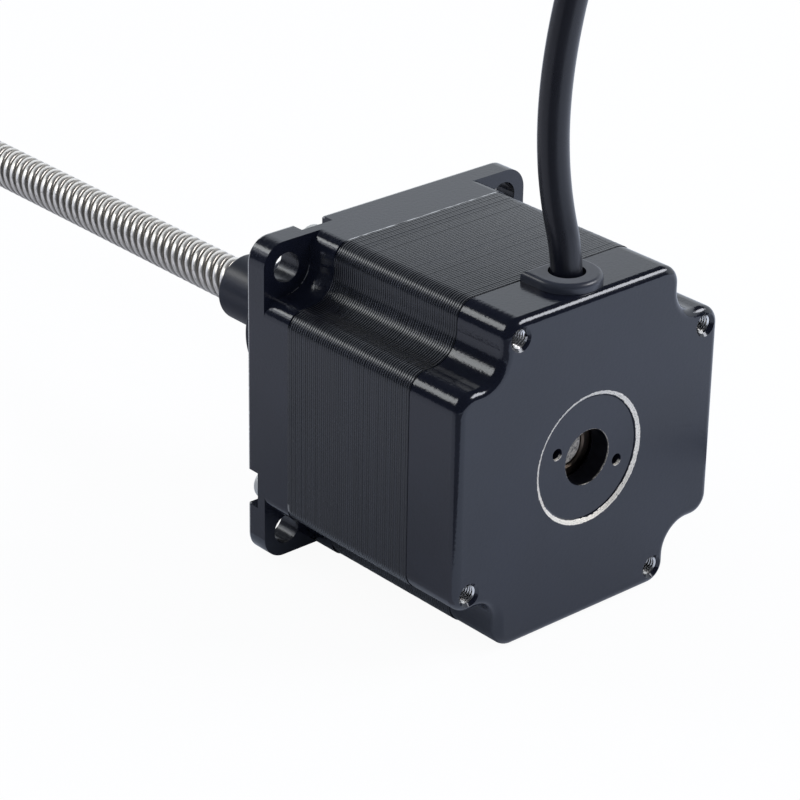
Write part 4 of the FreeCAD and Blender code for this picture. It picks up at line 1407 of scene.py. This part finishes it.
@dataclass
class LaminationEdges:
    """The ribbed skin of the lamination stack's outside."""

    sheet_pitch: float = 0.5 * MM
    crest: float = 0.10 * MM
    groove: float = 0.042 * MM
    groove_steps: int = 2
    relief_radius: float = RELIEF_RADIUS
    edge_radius: float = 3.4 * MM
    round_steps: int = 10
    skin: float = 0.35 * MM
    merge: float = 0.002 * MM
    cutter_margin: float = 2 * MM
    smooth_angle: float = 50
    unevenness: float = 0.03 * MM
    seed: int = 7
    foot: float = field(init=False)
    seam: float = field(init=False)
    half: float = field(init=False)
    wall: float = field(init=False)
    pitch: float = field(init=False)
    count: int = field(init=False)

    def __post_init__(self) -> None:
        """Read the stack's limits from the frame and fit whole sheets between them."""
        low, high = (Vector(corner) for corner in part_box("stator_stack"))
        self.foot = low.y
        self.seam = high.y
        self.half = high.x + self.crest
        self.count = round((high.y - low.y) / self.sheet_pitch)
        self.pitch = (high.y - low.y) / self.count
        bolts = [item for item in frame["record"]["mounts"] if item["name"] == "flange_bolts"][0]
        self.wall = bolts["dims"]["spacing_x_mm"] / 2 * MM - self.relief_radius + self.crest

    def build(self) -> None:
        """Stack the sheets' edges and give the skin its thickness."""
        piece = self.sheet_edge()
        apply_modifier(
            piece, "ARRAY", count=self.count, use_relative_offset=False, use_constant_offset=True,
            constant_offset_displace=(0.0, self.pitch, 0.0), use_merge_vertices=True,
            merge_threshold=self.merge)
        tidy_mesh(piece, self.smooth_angle)
        self.stagger(piece)
        apply_modifier(piece, "SOLIDIFY", thickness=self.skin, offset=-1.0)
        smooth(piece, self.smooth_angle)
        paint = LaminationPaint("lamination_paint", self.pitch, self.seam, self.half).material()
        mount(piece, Body.HOUSING, paint)
        dress(paint, "stator_stack")

    def sheet_edge(self) -> bpy.types.Object:
        """Model one sheet's edge: relieved corners, rounded arms and a groove along both rims.

        Returns:
            The edge, open at the sheet's two flat faces.
        """
        low = Vector((-self.half, self.foot, -self.half))
        piece = block("lamination_edges", low, Vector((self.half, self.foot + self.pitch, self.half)))
        cut(piece, self.corner_cutters())
        choose(piece, Pick.EDGE, self.is_arm_edge)
        bpy.ops.mesh.bevel(offset=self.edge_radius, segments=self.round_steps, profile=ARC, affect="EDGES")
        leave_edit()
        choose(piece, Pick.EDGE, self.is_rim)
        bpy.ops.mesh.bevel(
            offset=self.groove, segments=self.groove_steps, profile=ARC, affect="EDGES", clamp_overlap=False)
        leave_edit()
        choose(piece, Pick.FACE, lambda face: abs(face.normal.y) > FLAT)
        bpy.ops.mesh.delete(type="FACE")
        leave_edit()
        return piece

    def is_arm_edge(self, edge: bmesh.types.BMEdge) -> bool:
        """Say whether an edge runs along the axis at an arm's outer corner.

        Args:
            edge: the edge.

        Returns:
            True where it does.
        """
        first, second = (vertex.co for vertex in edge.verts)
        along = abs(first.x - second.x) < TOUCH and abs(first.z - second.z) < TOUCH
        return along and max(abs(first.x), abs(first.z)) > self.half - TOUCH

    @staticmethod
    def is_rim(edge: bmesh.types.BMEdge) -> bool:
        """Say whether an edge bounds one of the sheet's two flat faces."""
        return sum(abs(face.normal.y) > FLAT for face in edge.link_faces) == 1

    def is_inner(self, edge: bmesh.types.BMEdge) -> bool:
        """Say whether a cutter's edge is the one nearest to the motor's axis."""
        spots = [vertex.co for vertex in edge.verts]
        return all(max(abs(spot.x - self.wall), abs(spot.z - self.wall)) < TOUCH for spot in spots)

    def corner_cutters(self) -> bpy.types.Object:
        """Model the four corner reliefs with rounded inner edges.

        Returns:
            The reliefs as one cutter.
        """
        margin = self.cutter_margin
        low = Vector((self.wall, self.foot - margin, self.wall))
        high = Vector((self.half + margin, self.foot + self.pitch + margin, self.half + margin))
        cutter = block("relief", low, high)
        choose(cutter, Pick.EDGE, self.is_inner)
        inner_radius = self.relief_radius - self.crest
        bpy.ops.mesh.bevel(offset=inner_radius, segments=self.round_steps, profile=ARC, affect="EDGES")
        leave_edit()
        return at_corners(cutter, Matrix.Identity(4), "reliefs")

    def stagger(self, piece: bpy.types.Object) -> None:
        """Set each sheet in by its own small step, as loosely stacked sheets are.

        Args:
            piece: the skin of the stack.
        """
        chance = random.Random(self.seed)
        steps = [chance.uniform(0.0, self.unevenness) for _ in range(self.count)]
        normals = [Vector((vertex.normal.x, 0.0, vertex.normal.z)) for vertex in piece.data.vertices]
        for vertex, normal in zip(piece.data.vertices, normals):
            number = min(self.count - 1, max(0, int((vertex.co.y - self.foot) / self.pitch)))
            vertex.co -= normal.normalized() * steps[number]


@dataclass
class TieBolts:
    """The four tie bolts with pan heads and cross recesses."""

    spot: Tuple[float, float] = TIE_SPOT
    seat: float = -2.6 * MM
    head_radius: float = 2.8 * MM
    head_height: float = 2.3 * MM
    crown_height: float = 0.9 * MM
    crown_angles: Sequence[int] = range(0, 91, 15)
    shank_radius: float = 1.5 * MM
    tip: float = -45.0 * MM
    tip_chamfer: float = 0.4 * MM
    recess_depth: float = 1.3 * MM
    recess_reach: float = 1.45 * MM
    recess_width: float = 0.55 * MM
    recess_turns: Tuple[int, int] = (20, 110)
    steps: int = 40
    smooth_angle: float = 35
    zinc: Metal = Metal("zinc_plate", (0.86, 0.87, 0.86), roughness=0.42, cloud_shade=(0.78, 0.78, 0.764))

    def build(self) -> None:
        """Turn one bolt, cut its recess and set four of them."""
        bolt = lathe("tie_bolts", self.profile(), self.steps, self.smooth_angle)
        for turn in self.recess_turns:
            cut(bolt, self.slot(turn))
        smooth(bolt, self.smooth_angle)
        place = Matrix.Translation((self.spot[0], 0.0, self.spot[1]))
        bolts = at_corners(bolt, place, "tie_bolt_set")
        mount(bolts, Body.HOUSING, self.zinc.material(), ["tie_bolts"])

    def profile(self) -> Outline:
        """Draw half of a bolt.

        Returns:
            Radius and place along the axis, from the crown to the tip.
        """
        top = self.seat + self.head_height
        angles = [math.radians(angle) for angle in self.crown_angles]
        crown = [
            (self.head_radius * math.sin(angle), top - self.crown_height * (1 - math.cos(angle)))
            for angle in angles]
        return crown + [
            (self.head_radius, self.seat), (self.shank_radius, self.seat),
            (self.shank_radius, self.tip + self.tip_chamfer),
            (self.shank_radius - self.tip_chamfer, self.tip), (0.0, self.tip)]

    def slot(self, turn: float) -> bpy.types.Object:
        """Model the cutter for one slot of the cross recess.

        Args:
            turn: the slot's angle about the bolt, in degrees.

        Returns:
            The cutter.
        """
        top = self.seat + self.head_height
        low = Vector((-self.recess_reach, top - self.recess_depth, -self.recess_width / 2))
        cutter = block("slot", low, Vector((self.recess_reach, top + 1 * MM, self.recess_width / 2)))
        cutter.data.transform(Matrix.Rotation(math.radians(turn), 4, "Y"))
        return cutter


# Screw

@dataclass
class LeadScrew:
    """The four-start thread and the shank that carries the rotor."""

    starts: int = 4
    pitch: float = 2.0 * MM
    crest_radius: float = 3.94 * MM
    root_radius: float = 3.05 * MM
    shank_radius: float = 3.99 * MM
    journal_radius: float = 3.49 * MM
    centre_radius: float = 0.75 * MM
    end_chamfer: float = 0.35 * MM
    thread_start: float = 2.4 * MM
    thread_overlap: float = 0.4 * MM
    runout: float = 1.6 * MM
    tip_taper: float = 1.6 * MM
    tip_slope: float = 0.75
    half_ridge: Outline = (
        (0.0, 0.0), (0.05, 0.18), (0.10, 0.50), (0.15, 0.77), (0.22, 0.91), (0.34, 0.98), (0.50, 1.0))
    steps: int = 48
    shank_steps: int = 64
    smooth_angle: float = 60
    rear: float = field(init=False)
    tip: float = field(init=False)

    def __post_init__(self) -> None:
        """Read the screw's ends from the frame."""
        low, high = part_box("lead_screw")
        self.rear, self.tip = low[1], high[1]

    def build(self) -> None:
        """Wind the thread, turn the shank and join them."""
        thread = self.thread()
        shank = lathe("shank", self.shank_profile(), self.shank_steps)
        screw = join([thread, shank], "lead_screw_thread")
        steel = RolledThread(
            "rolled_thread", self.crest_radius, self.root_radius, self.rear, self.thread_start, self.pitch,
            self.starts)
        mount(screw, Body.ROTOR, steel.material(), ["lead_screw"])

    def shank_profile(self) -> Outline:
        """Draw half of the shank.

        Returns:
            Radius and place along the axis, from the centre hole in the rear end to the thread.
        """
        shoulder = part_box("rear_spacer")[0][1]
        root_end = self.thread_start + self.thread_overlap
        return [
            (0.0, self.rear + self.centre_radius), (self.centre_radius, self.rear),
            (self.journal_radius - self.end_chamfer, self.rear),
            (self.journal_radius, self.rear + self.end_chamfer), (self.journal_radius, shoulder),
            (self.shank_radius, shoulder), (self.shank_radius, self.thread_start),
            (self.root_radius, root_end), (0.0, root_end)]

    def section(self) -> Outline:
        """Draw one lead of the thread: rounded crests and roots, one per start.

        Returns:
            Radius and place along the axis.
        """
        depth = self.crest_radius - self.root_radius
        far_half = [(1 - share, height) for share, height in self.half_ridge[-2:0:-1]]
        points = []
        for start in range(self.starts):
            for share, height in list(self.half_ridge) + far_half:
                points.append((self.root_radius + depth * height, (start + share) * self.pitch))
        points.append((self.root_radius, self.starts * self.pitch))
        return points

    def thread(self) -> bpy.types.Object:
        """Wind the section along the screw, run it out at the shank and taper its tip.

        Returns:
            The thread, closed at both ends.
        """
        lead = self.starts * self.pitch
        turns = math.ceil((self.tip - self.thread_start) / lead) + 1
        piece = outline("thread", self.section())
        wind(piece, lead, turns, self.steps, True, self.smooth_angle)
        piece.data.transform(Matrix.Translation((0, self.thread_start - lead, 0)))
        for height, inner in ((self.thread_start, True), (self.tip, False)):
            open_edit(piece)
            bpy.ops.mesh.bisect(
                plane_co=(0, height, 0), plane_no=(0, 1, 0), use_fill=True, clear_inner=inner,
                clear_outer=not inner)
            leave_edit()
        for vertex in piece.data.vertices:
            radius = math.hypot(vertex.co.x, vertex.co.z)
            if radius > TOUCH:
                scale = self.shaped_radius(radius, vertex.co.y) / radius
                vertex.co.x *= scale
                vertex.co.z *= scale
        smooth(piece, self.smooth_angle)
        return piece

    def shaped_radius(self, radius: float, height: float) -> float:
        """Work out the thread's run-out and the tip's taper.

        Args:
            radius: a point's radius before them.
            height: the point's place along the axis.

        Returns:
            The point's radius after them.
        """
        fade = min(1.0, max(0.0, (height - self.thread_start) / self.runout))
        radius += (self.shank_radius - radius) * (1 - fade) ** 2
        tapered = height - (self.tip - self.tip_taper)
        return min(radius, self.crest_radius - tapered * self.tip_slope) if tapered > 0 else radius


# Pieces that only need a finish

PLAIN_PIECES: Tuple[Tuple[Finish, Tuple[str, ...]], ...] = (
    # The bearing rings are darker than bare bearing steel: painted shade for the rear inner ring deep in the
    # bore, over a brown tone of their own.
    (Metal("bearing_ring", (0.27, 0.215, 0.17), roughness=0.38, mark_stretch=(1.0, 0.2, 1.0),
           cloud_shade=(0.78, 0.718, 0.655)),
     ("front_bearing_outer", "front_bearing_inner", "rear_bearing_outer", "rear_bearing_inner")),
    (Metal("bearing_ball", (0.80, 0.80, 0.80), roughness=0.06),
     ("front_bearing_balls", "rear_bearing_balls")),
    (Metal("pressed_steel", (0.60, 0.60, 0.59), roughness=0.3, mark_stretch=(3.0, 1.0, 0.3)),
     ("front_bearing_cage", "rear_bearing_cage", "front_bearing_shields", "rear_bearing_shields",
      "preload_spring", "front_spacer", "rear_spacer")),
    (Metal("rotor_steel", (0.46, 0.46, 0.46), roughness=0.34, mark_stretch=(4.0, 0.12, 4.0)),
     ("rotor_front_cup", "rotor_rear_cup")),
    (Metal("magnet", (0.34, 0.34, 0.36), roughness=0.42), ("rotor_magnet",)),
    (Winding("winding"), ("stator_coils",)),
    (Moulded("insulator", (0.62, 0.60, 0.52), roughness=0.45, variation=0.15),
     ("insulator_front", "insulator_rear", "inner_leads")),
    (Moulded("nut_plastic", (0.003, 0.0055, 0.014), roughness=0.24, grain_size=0.3 * MM,
             grain_depth=0.003 * MM, stretch=(8.0, 0.3, 8.0)),
     ("lead_nut",)),
    (Moulded("grommet_rubber", (0.024, 0.027, 0.038), roughness=0.22, grain_size=0.6 * MM,
             grain_depth=0.004 * MM),
     ("cable_grommet",)),
)


def dress_plain_pieces() -> None:
    """Dress the pieces inside the motor, the nut and the grommet."""
    for finish, names in PLAIN_PIECES:
        dress(finish.material(), *names)


def main() -> None:
    """Build the motor and the studio in order."""
    CableRun().build()
    LaminationEdges().build()
    EndCaps().build()
    TieBolts().build()
    LeadScrew().build()
    dress_plain_pieces()
    Studio().build(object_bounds()[0][2])


if __name__ == "__main__":
    main()
